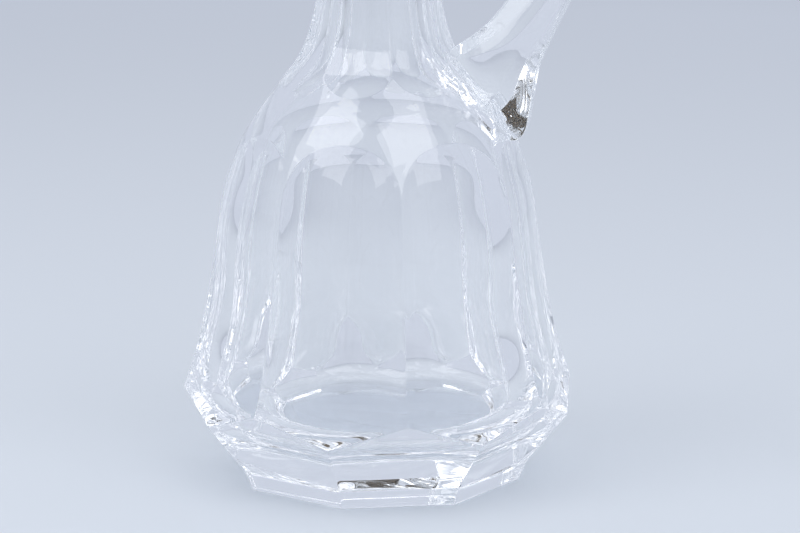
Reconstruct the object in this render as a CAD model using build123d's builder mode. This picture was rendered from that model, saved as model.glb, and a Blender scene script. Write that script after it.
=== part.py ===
from build123d import *
import os
from math import acos, cos, hypot, radians, sin

# A cut crystal liqueur decanter with an applied glass handle and a hinged, silver-plated lid.
# Millimetres. The origin is the centre of the foot, +Z is up the vessel's axis, +X points to the
# handle and the hinge, and the pouring spout points to -X.

os.makedirs("parts", exist_ok=True)

# Facets: eight flat panels round the body, one of them under the handle
SIDES = 8
STEP_ANGLE = 360.0 / SIDES
HALF_STEP = STEP_ANGLE / 2
FLAT_SHARE = cos(radians(HALF_STEP))  # distance to a flat over distance to a corner

# Foot and body of the vessel
FOOT_CORNER_R = 40.3
BAND_CORNER_R = 42.5
BAND_TOP_Z = 5.3  # top of the upright band round the foot
WIDEST_CORNER_R = 55.0
CORNER_Z = 26.6  # widest corners
PANEL_SKIRT = 13.0  # how far the panels' curve runs on below the widest corners
PANEL_FLARE = 7.2  # how far it spreads on the way
LOW_BODY_R = 45.4  # to a flat
LOW_BODY_Z = 46.0
HIGH_BODY_R = 41.6  # to a flat
HIGH_BODY_Z = 70.0
ARCH_SPRING_R = 42.6  # where neighbouring panels part below the shoulder
ARCH_SPRING_Z = 84.0
ARCH_TOP_R = 36.5  # crown of each panel's arch
ARCH_TOP_Z = 98.0
ARCH_TOP_RUN = 5.0  # the panels' curve is led upright for this far on each side of the crown
ARCH_TOP_EASE = 0.6  # and stands out by this much at the lower side
SHOULDER_START_OUT = 1.5  # the shoulder's curve starts this far outside the panels' edges
SHOULDER_START_UP = 2.0
SHOULDER_LEAN = 0.2  # its inward lean there, for each unit of height
SPRING_MARGIN = 0.1
MARGIN = 8.0  # how far cutting shapes reach past the glass

# Neck of the vessel
FLUTE_FOOT_R = 28.3
FLUTE_FOOT_Z = 109.5
FLUTE_WAIST_R = 14.2  # to a flat, where the fluted neck is slimmest
FLUTE_HEAD_Z = 155.0
SEAT_R = 15.0  # round top of the neck, under the collar
SEAT_RUN = 2.0  # round length above the flutes that the neck's curve ends in
FLUTE_START_OUT = 3.6  # the flutes' curve starts outside the glass, below their foot
FLUTE_START_DOWN = 2.6
FLUTE_WAIST_RUN = 3.5  # straight part below the head of the flutes
FLUTE_END_OUT = 0.4  # where the flutes' curve leaves the glass, above their head
FLUTE_END_UP = 1.0
RIM_Z = 180.0
BORE_R = 10.0

# The neck's fall from the shoulder: share of the flutes' height, share of the radius still to lose
ROUND_NECK = [(0.264, 0.474), (0.527, 0.188), (0.802, 0.053)]
FLUTED_NECK = [(0.141, 0.553), (0.516, 0.135), (0.791, 0.0)]

# Inside of the vessel: floor height, corner, and the glass left behind each station of the outside
FLOOR_Z = 16.6
CAVITY_CORNER_R = 8.0
WIDEST_WALL = 7.1
BELL_WALL = 6.65  # where the inside has begun to draw in above its widest part
BELL_SHARE = 0.27  # share of the way from the widest corners to the low body
LOW_BODY_WALL = 6.2
MIDDLE_WALL = 4.8  # halfway between the low and the high body
HIGH_BODY_WALL = 3.8
SHOULDER_WALL = 4.8
ARCH_TOP_WALL = 7.2
FLUTE_FOOT_WALL = 7.8
FLUTED_NECK_WALLS = [6.6, 4.5, 4.0]

# Handle. Each section runs from an inner to an outer point (x, z), measured from an anchor: the
# arch crown at the shoulder, the handle's outermost point, or the head of the neck's flutes. Its
# half widths are at the inner flat, the ridge, the belly and the outer flat.
HANDLE_REACH = 58.0
HANDLE_BOW_RISE = 25.5  # outermost point above the middle of the flutes and the arch crowns
RIDGE = 0.5  # share of a section's depth at which its ridge lies
BELLY = 0.75
ROOT_SECTIONS = [
    ((-18.5, 17.5), (-2.5, -1.4), 1.2, (0.14, 4.2), (0.60, 9.4), 1.6),
    ((-15.0, 22.8), (3.1, -1.6), 0.9, (0.13, 3.2), (0.60, 8.7), 1.2),
    ((-10.7, 25.8), (5.9, 5.0), 2.6, (0.21, 6.0), (0.60, 7.2), 2.2),
    ((-5.6, 29.8), (7.7, 16.6), 3.1, (0.34, 6.8), (0.66, 5.6), 2.8),
]
BOW_SECTIONS = [
    ((-21.5, -17.6), (-8.8, -25.2), 3.2, (0.45, 6.6), (0.74, 5.2), 3.1),
    ((-14.9, -9.2), (-3.0, -12.8), 3.1, (RIDGE, 6.2), (BELLY, 4.95), 3.1),
    ((-11.8, -0.4), (0.0, 0.4), 3.1, (RIDGE, 6.2), (BELLY, 4.95), 3.1),
    ((-14.0, 7.0), (-4.0, 12.4), 3.1, (RIDGE, 6.1), (BELLY, 4.9), 3.1),
    ((-19.8, 9.8), (-13.8, 18.4), 3.1, (RIDGE, 6.0), (BELLY, 4.85), 3.1),
]
TOP_SECTIONS = [
    ((17.0, 3.4), (19.2, 13.0), 3.1, (RIDGE, 5.9), (BELLY, 4.8), 3.1),
    ((9.8, -3.5), (8.8, 4.6), 3.1, (RIDGE, 5.9), (BELLY, 4.8), 3.1),
    ((2.8, -9.4), (1.6, -1.6), 3.3, (RIDGE, 6.3), (BELLY, 5.15), 3.3),
    ((-3.7, -11.8), (-4.2, -3.8), 3.5, (RIDGE, 6.8), (BELLY, 5.5), 3.5),
]

# Collar: a silver-plated sleeve cemented on the neck, drawn out into a spout
COLLAR_OVER_FLUTES = 3.5  # collar foot above the head of the flutes
CEMENT_GAP = 0.8
CEMENT_SETBACK = 1.0
COLLAR_WALL = 1.0
COLLAR_RISE = 3.6  # collar rim above the glass rim
SPOUT_HEIGHT = 15.6
SPOUT_REACH = 23.0  # from the axis to the centre of the spout's rounded nose
SPOUT_NOSE_R = 3.0
SPOUT_STEPS = 3
SPOUT_SPLIT = 0.06  # radians of the circle that become the spout's straight cheeks
RING_HEIGHT = 3.6
RING_REEDS = 3
RING_REED_DEPTH = 1.4
COLLAR_FOOT_Z = FLUTE_HEAD_Z + COLLAR_OVER_FLUTES
COLLAR_BORE_R = SEAT_R + CEMENT_GAP
COLLAR_R = COLLAR_BORE_R + COLLAR_WALL
COLLAR_RIM_Z = RIM_Z + COLLAR_RISE
SPOUT_FOOT_Z = COLLAR_RIM_Z - SPOUT_HEIGHT

# Lid: a flange that follows the collar and its spout, and a hollow dome
LID_LIFT = 0.2  # air between the closed lid and the collar rim
LID_OVERHANG = 1.3
FLANGE_THICKNESS = 1.2
FLANGE_ROUND = 0.4
DOME_R = 14.6
DOME_STEP = 1.4  # upright step at the foot of the dome
DOME_HEIGHT = 9.5
DOME_CROWN_R = 5.6  # flat crown under the finial
DOME_WALL = 1.0
BEZEL_CLEARANCE = 0.6
BEZEL_WALL = 0.8
BEZEL_DEPTH = 2.6
FLANGE_Z = COLLAR_RIM_Z + LID_LIFT
FLANGE_TOP_Z = FLANGE_Z + FLANGE_THICKNESS
FLANGE_R = COLLAR_R + LID_OVERHANG
DOME_TOP_Z = FLANGE_TOP_Z + DOME_HEIGHT
BEZEL_R = COLLAR_BORE_R - BEZEL_CLEARANCE

# Cork seal, washer, nut and finial, all on one stud
SEAL_FIT = 0.2
SEAL_GAP = 0.3  # air between the closed seal and the glass rim
SEAL_LEDGE = 1.4  # how far the seal bears on the flange
SEAL_CHAMFER = 0.6
STUD_R = 1.5
STUD_FIT = 0.1
WASHER_R = 4.6
WASHER_THICKNESS = 0.6
NUT_ACROSS_FLATS = 5.5
NUT_HEIGHT = 2.2
STUD_TIP = 0.8  # stud standing out below the nut
FINIAL_FOOT_R = 4.6
FINIAL_FOOT_HEIGHT = 1.6
FINIAL_WAIST_R = 1.9
FINIAL_WAIST_HEIGHT = 2.6
FINIAL_COLLAR_R = 3.2
FINIAL_BALL_R = 5.4
FINIAL_BALL_HEIGHT = 9.2
FINIAL_TIP_R = 1.2
FINIAL_TIP_RISE = 1.7  # rounded end above the ball
FINIAL_COVE = [(-1, 0.2), (1, 0.3)]  # directions of the hollow below the ball, at its ends
FINIAL_BALL = [(1, 0.6), (-1, 0.1)]  # directions of the ball's outline, at its ends
FINIAL_TIP = [(0.2, 1), (-1, 0)]
SEAL_R = BEZEL_R - BEZEL_WALL - SEAL_FIT
SEAL_FOOT_Z = RIM_Z + SEAL_GAP
WASHER_FOOT_Z = SEAL_FOOT_Z - WASHER_THICKNESS
NUT_FOOT_Z = WASHER_FOOT_Z - NUT_HEIGHT

# Hinge: three knuckles on the handle side of the collar
KNUCKLE_R = 2.3
HINGE_OFFSET = 1.0  # gap from the flange's edge to the knuckles
STRAP_WIDTH = 5.6
STRAP_THICKNESS = 1.2
STRAP_GRIP = 5.2  # length of the strap soldered on the flange
KNUCKLE_GAP = 0.2  # side play between knuckles
OUTER_KNUCKLE = 3.4
PIN_R = 0.9
PIN_FIT = 0.02  # pin held in the outer knuckles
PIN_PLAY = 0.08  # pin free in the middle knuckle
PIN_HEAD_R = 1.5
PIN_HEAD = 0.5
BRACKET_DROP = 9.5  # from the hinge line to the bracket's lower edge
BRACKET_CLEARANCE = 0.6  # bracket to the flange, and to the turning middle knuckle
KNUCKLE_ROOT = 1.5  # how deep the outer knuckles' posts reach into the bracket
HINGE_X = FLANGE_R + HINGE_OFFSET + KNUCKLE_R
HINGE_Z = FLANGE_TOP_Z
HINGE_HALF_WIDTH = STRAP_WIDTH / 2 + KNUCKLE_GAP + OUTER_KNUCKLE

# Thumb piece: a leaning trefoil plate on the strap
THUMB_HEIGHT = 13.0
THUMB_LEAN = 3.4
THUMB_THICKNESS = 1.6
THUMB_SETBACK = 1.2  # foot of the plate ahead of the hinge line
THUMB_LOBE_R = 2.5
THUMB_LOBE_SPREAD = 3.1
THUMB_LOBE_DROP = 5.5  # from the top to the middle of the side lobes
THUMB_HOLLOW = 0.4  # how far the plate bends back on its way up
THUMB_HOLLOW_SHARE = 0.4  # share of its height at which it does
THUMB_FOOT_LEAN = (-0.3, 1)  # its direction at the foot and at the top
THUMB_TOP_LEAN = (0.9, 1)
THUMB_STEM_WIDTH = 3.4
THUMB_FOOT_HEIGHT = 2.0


def upright_plane(angle):
    """The upright plane through the axis whose x direction points at angle, in degrees from +X."""
    turn = radians(angle)
    return Plane(origin=(0, 0, 0), x_dir=(cos(turn), sin(turn), 0), z_dir=(sin(turn), -cos(turn), 0))


def save(piece, name):
    """Labels a finished piece and writes its STEP file."""
    piece.part.label = name
    export_step(piece.part, f"parts/{name}.step")


def neck_points(fall, end_r):
    """Outside (radius, z) points down the neck, from the foot of the flutes to end_r."""
    height = FLUTE_HEAD_Z - FLUTE_FOOT_Z
    return [(end_r + left * (FLUTE_FOOT_R - end_r), FLUTE_FOOT_Z + up * height) for (up, left) in fall]


# Outlines of the outside: (distance from the axis, z), from the foot up
widest_flat_r = WIDEST_CORNER_R * FLAT_SHARE
spring_flat_r = ARCH_SPRING_R * FLAT_SHARE
panel_curve = [
    (widest_flat_r + PANEL_FLARE, CORNER_Z - PANEL_SKIRT),
    (widest_flat_r, CORNER_Z),
    (LOW_BODY_R, LOW_BODY_Z),
    (HIGH_BODY_R, HIGH_BODY_Z),
    (spring_flat_r, ARCH_SPRING_Z),
    (ARCH_TOP_R + ARCH_TOP_EASE, ARCH_TOP_Z - ARCH_TOP_RUN),
    (ARCH_TOP_R, ARCH_TOP_Z),
    (ARCH_TOP_R, ARCH_TOP_Z + ARCH_TOP_RUN),
]
shoulder_curve = [
    (HIGH_BODY_R / FLAT_SHARE + SHOULDER_START_OUT, HIGH_BODY_Z + SHOULDER_START_UP),
    (ARCH_SPRING_R + SPRING_MARGIN, ARCH_SPRING_Z),
    (ARCH_TOP_R, ARCH_TOP_Z),
    (FLUTE_FOOT_R, FLUTE_FOOT_Z),
    *neck_points(ROUND_NECK, SEAT_R),
    (SEAT_R, FLUTE_HEAD_Z + SEAT_RUN),
]
flute_curve = [
    (FLUTE_FOOT_R + FLUTE_START_OUT, FLUTE_FOOT_Z - FLUTE_START_DOWN),
    (FLUTE_FOOT_R, FLUTE_FOOT_Z),
    *neck_points(FLUTED_NECK, FLUTE_WAIST_R),
    (FLUTE_WAIST_R, FLUTE_HEAD_Z - FLUTE_WAIST_RUN),
    (SEAT_R + FLUTE_END_OUT, FLUTE_HEAD_Z + FLUTE_END_UP),
]
blank_r = WIDEST_CORNER_R + MARGIN
far_x = blank_r + MARGIN
top_z = RIM_Z + MARGIN

with BuildPart() as vessel_blank:
    with BuildSketch(Plane.XZ):
        with BuildLine():
            Polyline(shoulder_curve[-1], (SEAT_R, RIM_Z), (0, RIM_Z), (0, 0), (blank_r, 0))
            Polyline((blank_r, 0), (blank_r, CORNER_Z), shoulder_curve[0])
            Spline(*shoulder_curve, tangents=[(-SHOULDER_LEAN, 1), (0, 1)])
        make_face()
    revolve(axis=Axis.Z)
    # Body panels and neck flutes, cut in opposite pairs
    for turn in range(SIDES // 2):
        with BuildSketch(upright_plane(turn * STEP_ANGLE)):
            with BuildLine():
                Polyline((0, -MARGIN), (far_x, -MARGIN), (far_x, panel_curve[0][1]), panel_curve[0])
                Spline(*panel_curve)
                Polyline(panel_curve[-1], (far_x, panel_curve[-1][1]), (far_x, flute_curve[0][1]))
                Line((far_x, flute_curve[0][1]), flute_curve[0])
                Spline(*flute_curve)
                Polyline(flute_curve[-1], (far_x, flute_curve[-1][1]), (far_x, top_z), (0, top_z))
                mirror(about=Plane.YZ)
            make_face()
        extrude(amount=far_x, both=True, mode=Mode.INTERSECT)
    # Lower facets and the band round the foot, turned half a step against the panels
    for turn in range(SIDES // 2):
        with BuildSketch(upright_plane(turn * STEP_ANGLE + HALF_STEP)):
            with BuildLine():
                foot_flat_r = FOOT_CORNER_R * FLAT_SHARE
                band_flat_r = BAND_CORNER_R * FLAT_SHARE
                facet_lean = (CORNER_Z - BAND_TOP_Z) / (WIDEST_CORNER_R - band_flat_r)
                facet_end = (far_x, BAND_TOP_Z + (far_x - band_flat_r) * facet_lean)
                Polyline((0, 0), (foot_flat_r, 0), (band_flat_r, BAND_TOP_Z), facet_end)
                Polyline(facet_end, (far_x, RIM_Z), (0, RIM_Z))
                mirror(about=Plane.YZ)
            make_face()
        extrude(amount=far_x, both=True, mode=Mode.INTERSECT)

# The inside, blown smooth and round: (radius, z) from the floor's corner to the bore
cavity_r = widest_flat_r - WIDEST_WALL
cavity_side_z = FLOOR_Z + CAVITY_CORNER_R
bell_r = widest_flat_r + BELL_SHARE * (LOW_BODY_R - widest_flat_r) - BELL_WALL
fluted_points = neck_points(FLUTED_NECK, FLUTE_WAIST_R)
cavity_curve = [
    (cavity_r, cavity_side_z),
    (bell_r, CORNER_Z + BELL_SHARE * (LOW_BODY_Z - CORNER_Z)),
    (LOW_BODY_R - LOW_BODY_WALL, LOW_BODY_Z),
    ((LOW_BODY_R + HIGH_BODY_R) / 2 - MIDDLE_WALL, (LOW_BODY_Z + HIGH_BODY_Z) / 2),
    (HIGH_BODY_R - HIGH_BODY_WALL, HIGH_BODY_Z),
    (spring_flat_r - SHOULDER_WALL, ARCH_SPRING_Z),
    (ARCH_TOP_R - ARCH_TOP_WALL, ARCH_TOP_Z),
    (FLUTE_FOOT_R - FLUTE_FOOT_WALL, FLUTE_FOOT_Z),
    *[(r - wall, z) for ((r, z), wall) in zip(fluted_points, FLUTED_NECK_WALLS)],
    (BORE_R, FLUTE_HEAD_Z),
]
with BuildPart() as glass_vessel:
    add(vessel_blank.part)
    with BuildSketch(Plane.XZ):
        with BuildLine():
            floor_end = (cavity_r - CAVITY_CORNER_R, FLOOR_Z)
            Polyline((BORE_R, FLUTE_HEAD_Z), (BORE_R, top_z), (0, top_z), (0, FLOOR_Z), floor_end)
            TangentArc(floor_end, (cavity_r, cavity_side_z), tangent=(1, 0))
            Spline(*cavity_curve, tangents=[(0, 1), (0, 1)])
        make_face()
    revolve(axis=Axis.Z, mode=Mode.SUBTRACT)
save(glass_vessel, "glass_vessel")

# Handle: faceted sections from the shoulder, out round the bow, to the neck
bow_z = (ARCH_TOP_Z + FLUTE_HEAD_Z) / 2 + HANDLE_BOW_RISE
handle_sections = (
    [((ARCH_TOP_R, ARCH_TOP_Z), row) for row in ROOT_SECTIONS]
    + [((HANDLE_REACH, bow_z), row) for row in BOW_SECTIONS]
    + [((FLUTE_WAIST_R, FLUTE_HEAD_Z), row) for row in TOP_SECTIONS]
)
with BuildPart() as glass_handle:
    for ((anchor_x, anchor_z), (inner, outer, inner_half, ridge, belly, outer_half)) in handle_sections:
        run_x = outer[0] - inner[0]
        run_z = outer[1] - inner[1]
        depth = hypot(run_x, run_z)
        section_plane = Plane(
            origin=(anchor_x + inner[0], 0, anchor_z + inner[1]),
            x_dir=(run_x, 0, run_z),
            z_dir=(run_z, 0, -run_x),
        )
        with BuildSketch(section_plane):
            with BuildLine():
                Polyline(
                    (0, -inner_half),
                    (depth * ridge[0], -ridge[1]),
                    (depth * belly[0], -belly[1]),
                    (depth, -outer_half),
                    (depth, outer_half),
                    (depth * belly[0], belly[1]),
                    (depth * ridge[0], ridge[1]),
                    (0, inner_half),
                    close=True,
                )
            make_face()
    loft()
    add(vessel_blank.part, mode=Mode.SUBTRACT)
save(glass_handle, "glass_handle")

# Plaster bed between the neck and the collar
with BuildPart() as collar_cement:
    with BuildSketch(Plane.XY.offset(COLLAR_FOOT_Z + CEMENT_SETBACK)):
        Circle(COLLAR_BORE_R)
        Circle(SEAT_R, mode=Mode.SUBTRACT)
    extrude(amount=SPOUT_FOOT_Z - COLLAR_FOOT_Z - CEMENT_SETBACK)
save(collar_cement, "collar_cement")


def spout_section(body_r, nose_r, share, z):
    """A round section at height z whose -X side is drawn out to a nose by share, from 0 to 1."""
    turn = acos((body_r - nose_r) / SPOUT_REACH)
    nose_turn = turn - SPOUT_SPLIT if share == 0 else turn
    middle = turn - SPOUT_SPLIT / 2
    nose_x = -share * SPOUT_REACH
    round_r = body_r + share * (nose_r - body_r)
    cheek = (-body_r * cos(turn), body_r * sin(turn))
    side = (nose_x - round_r * cos(nose_turn), round_r * sin(nose_turn))
    with BuildSketch(Plane.XY.offset(z)) as section:
        with BuildLine():
            ThreePointArc((cheek[0], -cheek[1]), (body_r, 0), cheek)
            # At the spout's foot the straight cheeks are short arcs of the same circle
            if share == 0:
                ThreePointArc(cheek, (-body_r * cos(middle), body_r * sin(middle)), side)
            else:
                Line(cheek, side)
            ThreePointArc(side, (nose_x - round_r, 0), (side[0], -side[1]))
            if share == 0:
                half_way = (-body_r * cos(middle), -body_r * sin(middle))
                ThreePointArc((side[0], -side[1]), half_way, (cheek[0], -cheek[1]))
            else:
                Line((side[0], -side[1]), (cheek[0], -cheek[1]))
        make_face()
    return section.sketch


def flared_sections(body_r, nose_r):
    """Sections from the spout's foot, where it is round, to the rim, where it is drawn out."""
    rises = [step / SPOUT_STEPS for step in range(SPOUT_STEPS + 1)]
    return [spout_section(body_r, nose_r, rise * rise, SPOUT_FOOT_Z + rise * SPOUT_HEIGHT) for rise in rises]


with BuildPart() as neck_collar:
    loft(sections=flared_sections(COLLAR_R, SPOUT_NOSE_R))
    loft(sections=flared_sections(COLLAR_BORE_R, SPOUT_NOSE_R - COLLAR_WALL), mode=Mode.SUBTRACT)
    with BuildSketch(Plane.XY.offset(COLLAR_FOOT_Z)):
        Circle(COLLAR_R)
        Circle(COLLAR_BORE_R, mode=Mode.SUBTRACT)
    extrude(amount=SPOUT_FOOT_Z - COLLAR_FOOT_Z)
save(neck_collar, "neck_collar")

# Reeded moulding ring soldered round the collar's foot
with BuildPart() as collar_ring:
    with BuildSketch(Plane.XZ):
        reed_pitch = RING_HEIGHT / RING_REEDS
        with Locations((COLLAR_R + RING_REED_DEPTH / 4, COLLAR_FOOT_Z + RING_HEIGHT / 2)):
            Rectangle(RING_REED_DEPTH / 2, RING_HEIGHT)
        for reed in range(RING_REEDS):
            with Locations((COLLAR_R + RING_REED_DEPTH / 2, COLLAR_FOOT_Z + (reed + 0.5) * reed_pitch)):
                Ellipse(RING_REED_DEPTH / 2, reed_pitch / 2)
        with Locations((COLLAR_R - RING_REED_DEPTH / 2, COLLAR_FOOT_Z + RING_HEIGHT / 2)):
            Rectangle(RING_REED_DEPTH, RING_HEIGHT, mode=Mode.SUBTRACT)
    revolve(axis=Axis.Z)
save(collar_ring, "collar_ring")

# Hinge bracket: a plate curved to the collar, a shelf below the flange, and the outer knuckles
shelf_top = FLANGE_Z - BRACKET_CLEARANCE
bracket_foot = HINGE_Z - BRACKET_DROP
knuckle_y = STRAP_WIDTH / 2 + KNUCKLE_GAP
with BuildPart() as hinge_bracket:
    # Side view: a bracket that grows out from the collar to carry the knuckles
    with BuildSketch(Plane.XZ):
        with BuildLine():
            back_x = COLLAR_R - COLLAR_WALL / 2
            arc_r = HINGE_X - COLLAR_R + BRACKET_DROP
            RadiusArc((HINGE_X, shelf_top), (COLLAR_R, bracket_foot), arc_r)
            Polyline((COLLAR_R, bracket_foot), (back_x, bracket_foot), (back_x, shelf_top))
            Line((back_x, shelf_top), (HINGE_X, shelf_top))
        make_face()
    extrude(amount=HINGE_HALF_WIDTH, both=True)
    with BuildSketch(Plane.XZ):
        with Locations((HINGE_X, HINGE_Z)):
            Circle(KNUCKLE_R)
        with Locations((HINGE_X, (HINGE_Z + shelf_top - KNUCKLE_ROOT) / 2)):
            Rectangle(2 * KNUCKLE_R, HINGE_Z - shelf_top + KNUCKLE_ROOT)
    extrude(amount=HINGE_HALF_WIDTH, both=True)
    # Room for the middle knuckle, the pin's bore and the collar
    with BuildSketch(Plane.XZ):
        with Locations((HINGE_X, HINGE_Z)):
            Circle(KNUCKLE_R + BRACKET_CLEARANCE)
    extrude(amount=knuckle_y, both=True, mode=Mode.SUBTRACT)
    with BuildSketch(Plane.XZ):
        with Locations((HINGE_X, HINGE_Z)):
            Circle(PIN_R + PIN_FIT)
    extrude(amount=HINGE_HALF_WIDTH, both=True, mode=Mode.SUBTRACT)
    add(neck_collar.part, mode=Mode.SUBTRACT)
save(hinge_bracket, "hinge_bracket")

# Hinge pin, with its ends peened over the outer knuckles
with BuildPart() as hinge_pin:
    with BuildSketch(Plane.XZ):
        with Locations((HINGE_X, HINGE_Z)):
            Circle(PIN_R)
    extrude(amount=HINGE_HALF_WIDTH, both=True)
    for side in (-1, 1):
        with BuildSketch(Plane.XZ.offset(side * HINGE_HALF_WIDTH)):
            with Locations((HINGE_X, HINGE_Z)):
                Circle(PIN_HEAD_R)
        extrude(amount=side * PIN_HEAD)
    chamfer(hinge_pin.edges().filter_by(GeomType.CIRCLE).group_by(Axis.Y)[0], PIN_HEAD / 2)
    chamfer(hinge_pin.edges().filter_by(GeomType.CIRCLE).group_by(Axis.Y)[-1], PIN_HEAD / 2)
save(hinge_pin, "hinge_pin")

# Lid shell: a flange over the collar and its spout, with a stepped, hollow dome
with BuildPart() as lid_shell:
    add(spout_section(FLANGE_R, SPOUT_NOSE_R + LID_OVERHANG, 1.0, FLANGE_Z))
    extrude(amount=FLANGE_THICKNESS)
    chamfer(lid_shell.edges().group_by(Axis.Z)[-1], FLANGE_ROUND)
    with BuildSketch(Plane.XZ):
        with BuildLine():
            Line((0, FLANGE_Z), (DOME_R, FLANGE_Z))
            Line((DOME_R, FLANGE_Z), (DOME_R, FLANGE_TOP_Z + DOME_STEP))
            step_end = (DOME_R - DOME_STEP, FLANGE_TOP_Z + DOME_STEP)
            Line((DOME_R, FLANGE_TOP_Z + DOME_STEP), step_end)
            crown = (DOME_CROWN_R, DOME_TOP_Z)
            TangentArc(step_end, crown, tangent=(0, 1))
            Polyline(crown, (0, DOME_TOP_Z), (0, FLANGE_Z))
        make_face()
    revolve(axis=Axis.Z)
    # The hollow keeps a ledge for the seal and an even wall
    with BuildSketch(Plane.XZ):
        with BuildLine():
            ledge_r = SEAL_R - SEAL_LEDGE
            hollow_end = (ledge_r, FLANGE_TOP_Z + DOME_STEP)
            hollow_crown = (DOME_CROWN_R, DOME_TOP_Z - DOME_WALL)
            Polyline((0, FLANGE_Z), (ledge_r, FLANGE_Z), hollow_end)
            TangentArc(hollow_end, hollow_crown, tangent=(0, 1))
            Polyline(hollow_crown, (0, DOME_TOP_Z - DOME_WALL), (0, FLANGE_Z))
        make_face()
    revolve(axis=Axis.Z, mode=Mode.SUBTRACT)
    with BuildSketch(Plane.XY.offset(FLANGE_Z)):
        Circle(STUD_R + STUD_FIT)
    extrude(amount=top_z, mode=Mode.SUBTRACT)
save(lid_shell, "lid_shell")

# Bezel: the ring inside the lid that centres it in the collar
with BuildPart() as lid_bezel:
    with BuildSketch(Plane.XY.offset(FLANGE_Z)):
        Circle(BEZEL_R)
        Circle(BEZEL_R - BEZEL_WALL, mode=Mode.SUBTRACT)
    extrude(amount=-BEZEL_DEPTH)
save(lid_bezel, "lid_bezel")

# Cork seal, bearing on the flange round the hollow
with BuildPart() as lid_seal:
    with BuildSketch(Plane.XY.offset(SEAL_FOOT_Z)):
        Circle(SEAL_R)
        Circle(STUD_R + STUD_FIT, mode=Mode.SUBTRACT)
    extrude(amount=FLANGE_Z - SEAL_FOOT_Z)
    chamfer(lid_seal.edges().group_by(Axis.Z)[0].sort_by(SortBy.RADIUS)[-1], SEAL_CHAMFER)
save(lid_seal, "lid_seal")

with BuildPart() as seal_washer:
    with BuildSketch(Plane.XY.offset(WASHER_FOOT_Z)):
        Circle(WASHER_R)
        Circle(STUD_R + STUD_FIT, mode=Mode.SUBTRACT)
    extrude(amount=WASHER_THICKNESS)
save(seal_washer, "seal_washer")

# Nut on the stud, its bore at the thread's middle diameter
with BuildPart() as finial_nut:
    with BuildSketch(Plane.XY.offset(NUT_FOOT_Z)):
        RegularPolygon(NUT_ACROSS_FLATS / 2, 6, major_radius=False)
        Circle(STUD_R, mode=Mode.SUBTRACT)
    extrude(amount=NUT_HEIGHT)
save(finial_nut, "finial_nut")

# Finial: a turned knob in one piece with its stud
with BuildPart() as finial_knob:
    with BuildSketch(Plane.XZ):
        with BuildLine():
            foot_top = DOME_TOP_Z + FINIAL_FOOT_HEIGHT
            waist_top = foot_top + FINIAL_WAIST_HEIGHT
            ball_z = waist_top + FINIAL_BALL_HEIGHT / 2
            ball_top = waist_top + FINIAL_BALL_HEIGHT
            stud_foot = NUT_FOOT_Z - STUD_TIP
            Polyline((0, stud_foot), (STUD_R, stud_foot), (STUD_R, DOME_TOP_Z), (FINIAL_FOOT_R, DOME_TOP_Z))
            Line((FINIAL_FOOT_R, DOME_TOP_Z), (FINIAL_FOOT_R, DOME_TOP_Z + FINIAL_FOOT_HEIGHT / 2))
            Spline(
                (FINIAL_FOOT_R, DOME_TOP_Z + FINIAL_FOOT_HEIGHT / 2),
                (FINIAL_WAIST_R, foot_top + FINIAL_WAIST_HEIGHT / 2),
                (FINIAL_COLLAR_R, waist_top),
                tangents=FINIAL_COVE,
            )
            Spline(
                (FINIAL_COLLAR_R, waist_top),
                (FINIAL_BALL_R, ball_z),
                (FINIAL_TIP_R, ball_top),
                tangents=FINIAL_BALL,
            )
            Spline((FINIAL_TIP_R, ball_top), (0, ball_top + FINIAL_TIP_RISE), tangents=FINIAL_TIP)
            Line((0, ball_top + FINIAL_TIP_RISE), (0, stud_foot))
        make_face()
    revolve(axis=Axis.Z)
save(finial_knob, "finial_knob")

# Strap soldered on the lid, with the middle knuckle
with BuildPart() as lid_strap:
    strap_foot_x = FLANGE_R - STRAP_GRIP
    with BuildSketch(Plane.XY.offset(FLANGE_TOP_Z)):
        with Locations(((strap_foot_x + HINGE_X) / 2, 0)):
            Rectangle(HINGE_X - strap_foot_x, STRAP_WIDTH)
    extrude(amount=STRAP_THICKNESS)
    with BuildSketch(Plane.XZ):
        with Locations((HINGE_X, HINGE_Z)):
            Circle(KNUCKLE_R)
    extrude(amount=STRAP_WIDTH / 2, both=True)
    with BuildSketch(Plane.XZ):
        with Locations((HINGE_X, HINGE_Z)):
            Circle(PIN_R + PIN_PLAY)
    extrude(amount=STRAP_WIDTH / 2, both=True, mode=Mode.SUBTRACT)
    # The strap's end hugs the foot of the dome
    with BuildSketch(Plane.XY.offset(FLANGE_TOP_Z)):
        Circle(DOME_R)
    extrude(amount=STRAP_THICKNESS, mode=Mode.SUBTRACT)
save(lid_strap, "lid_strap")

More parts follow.
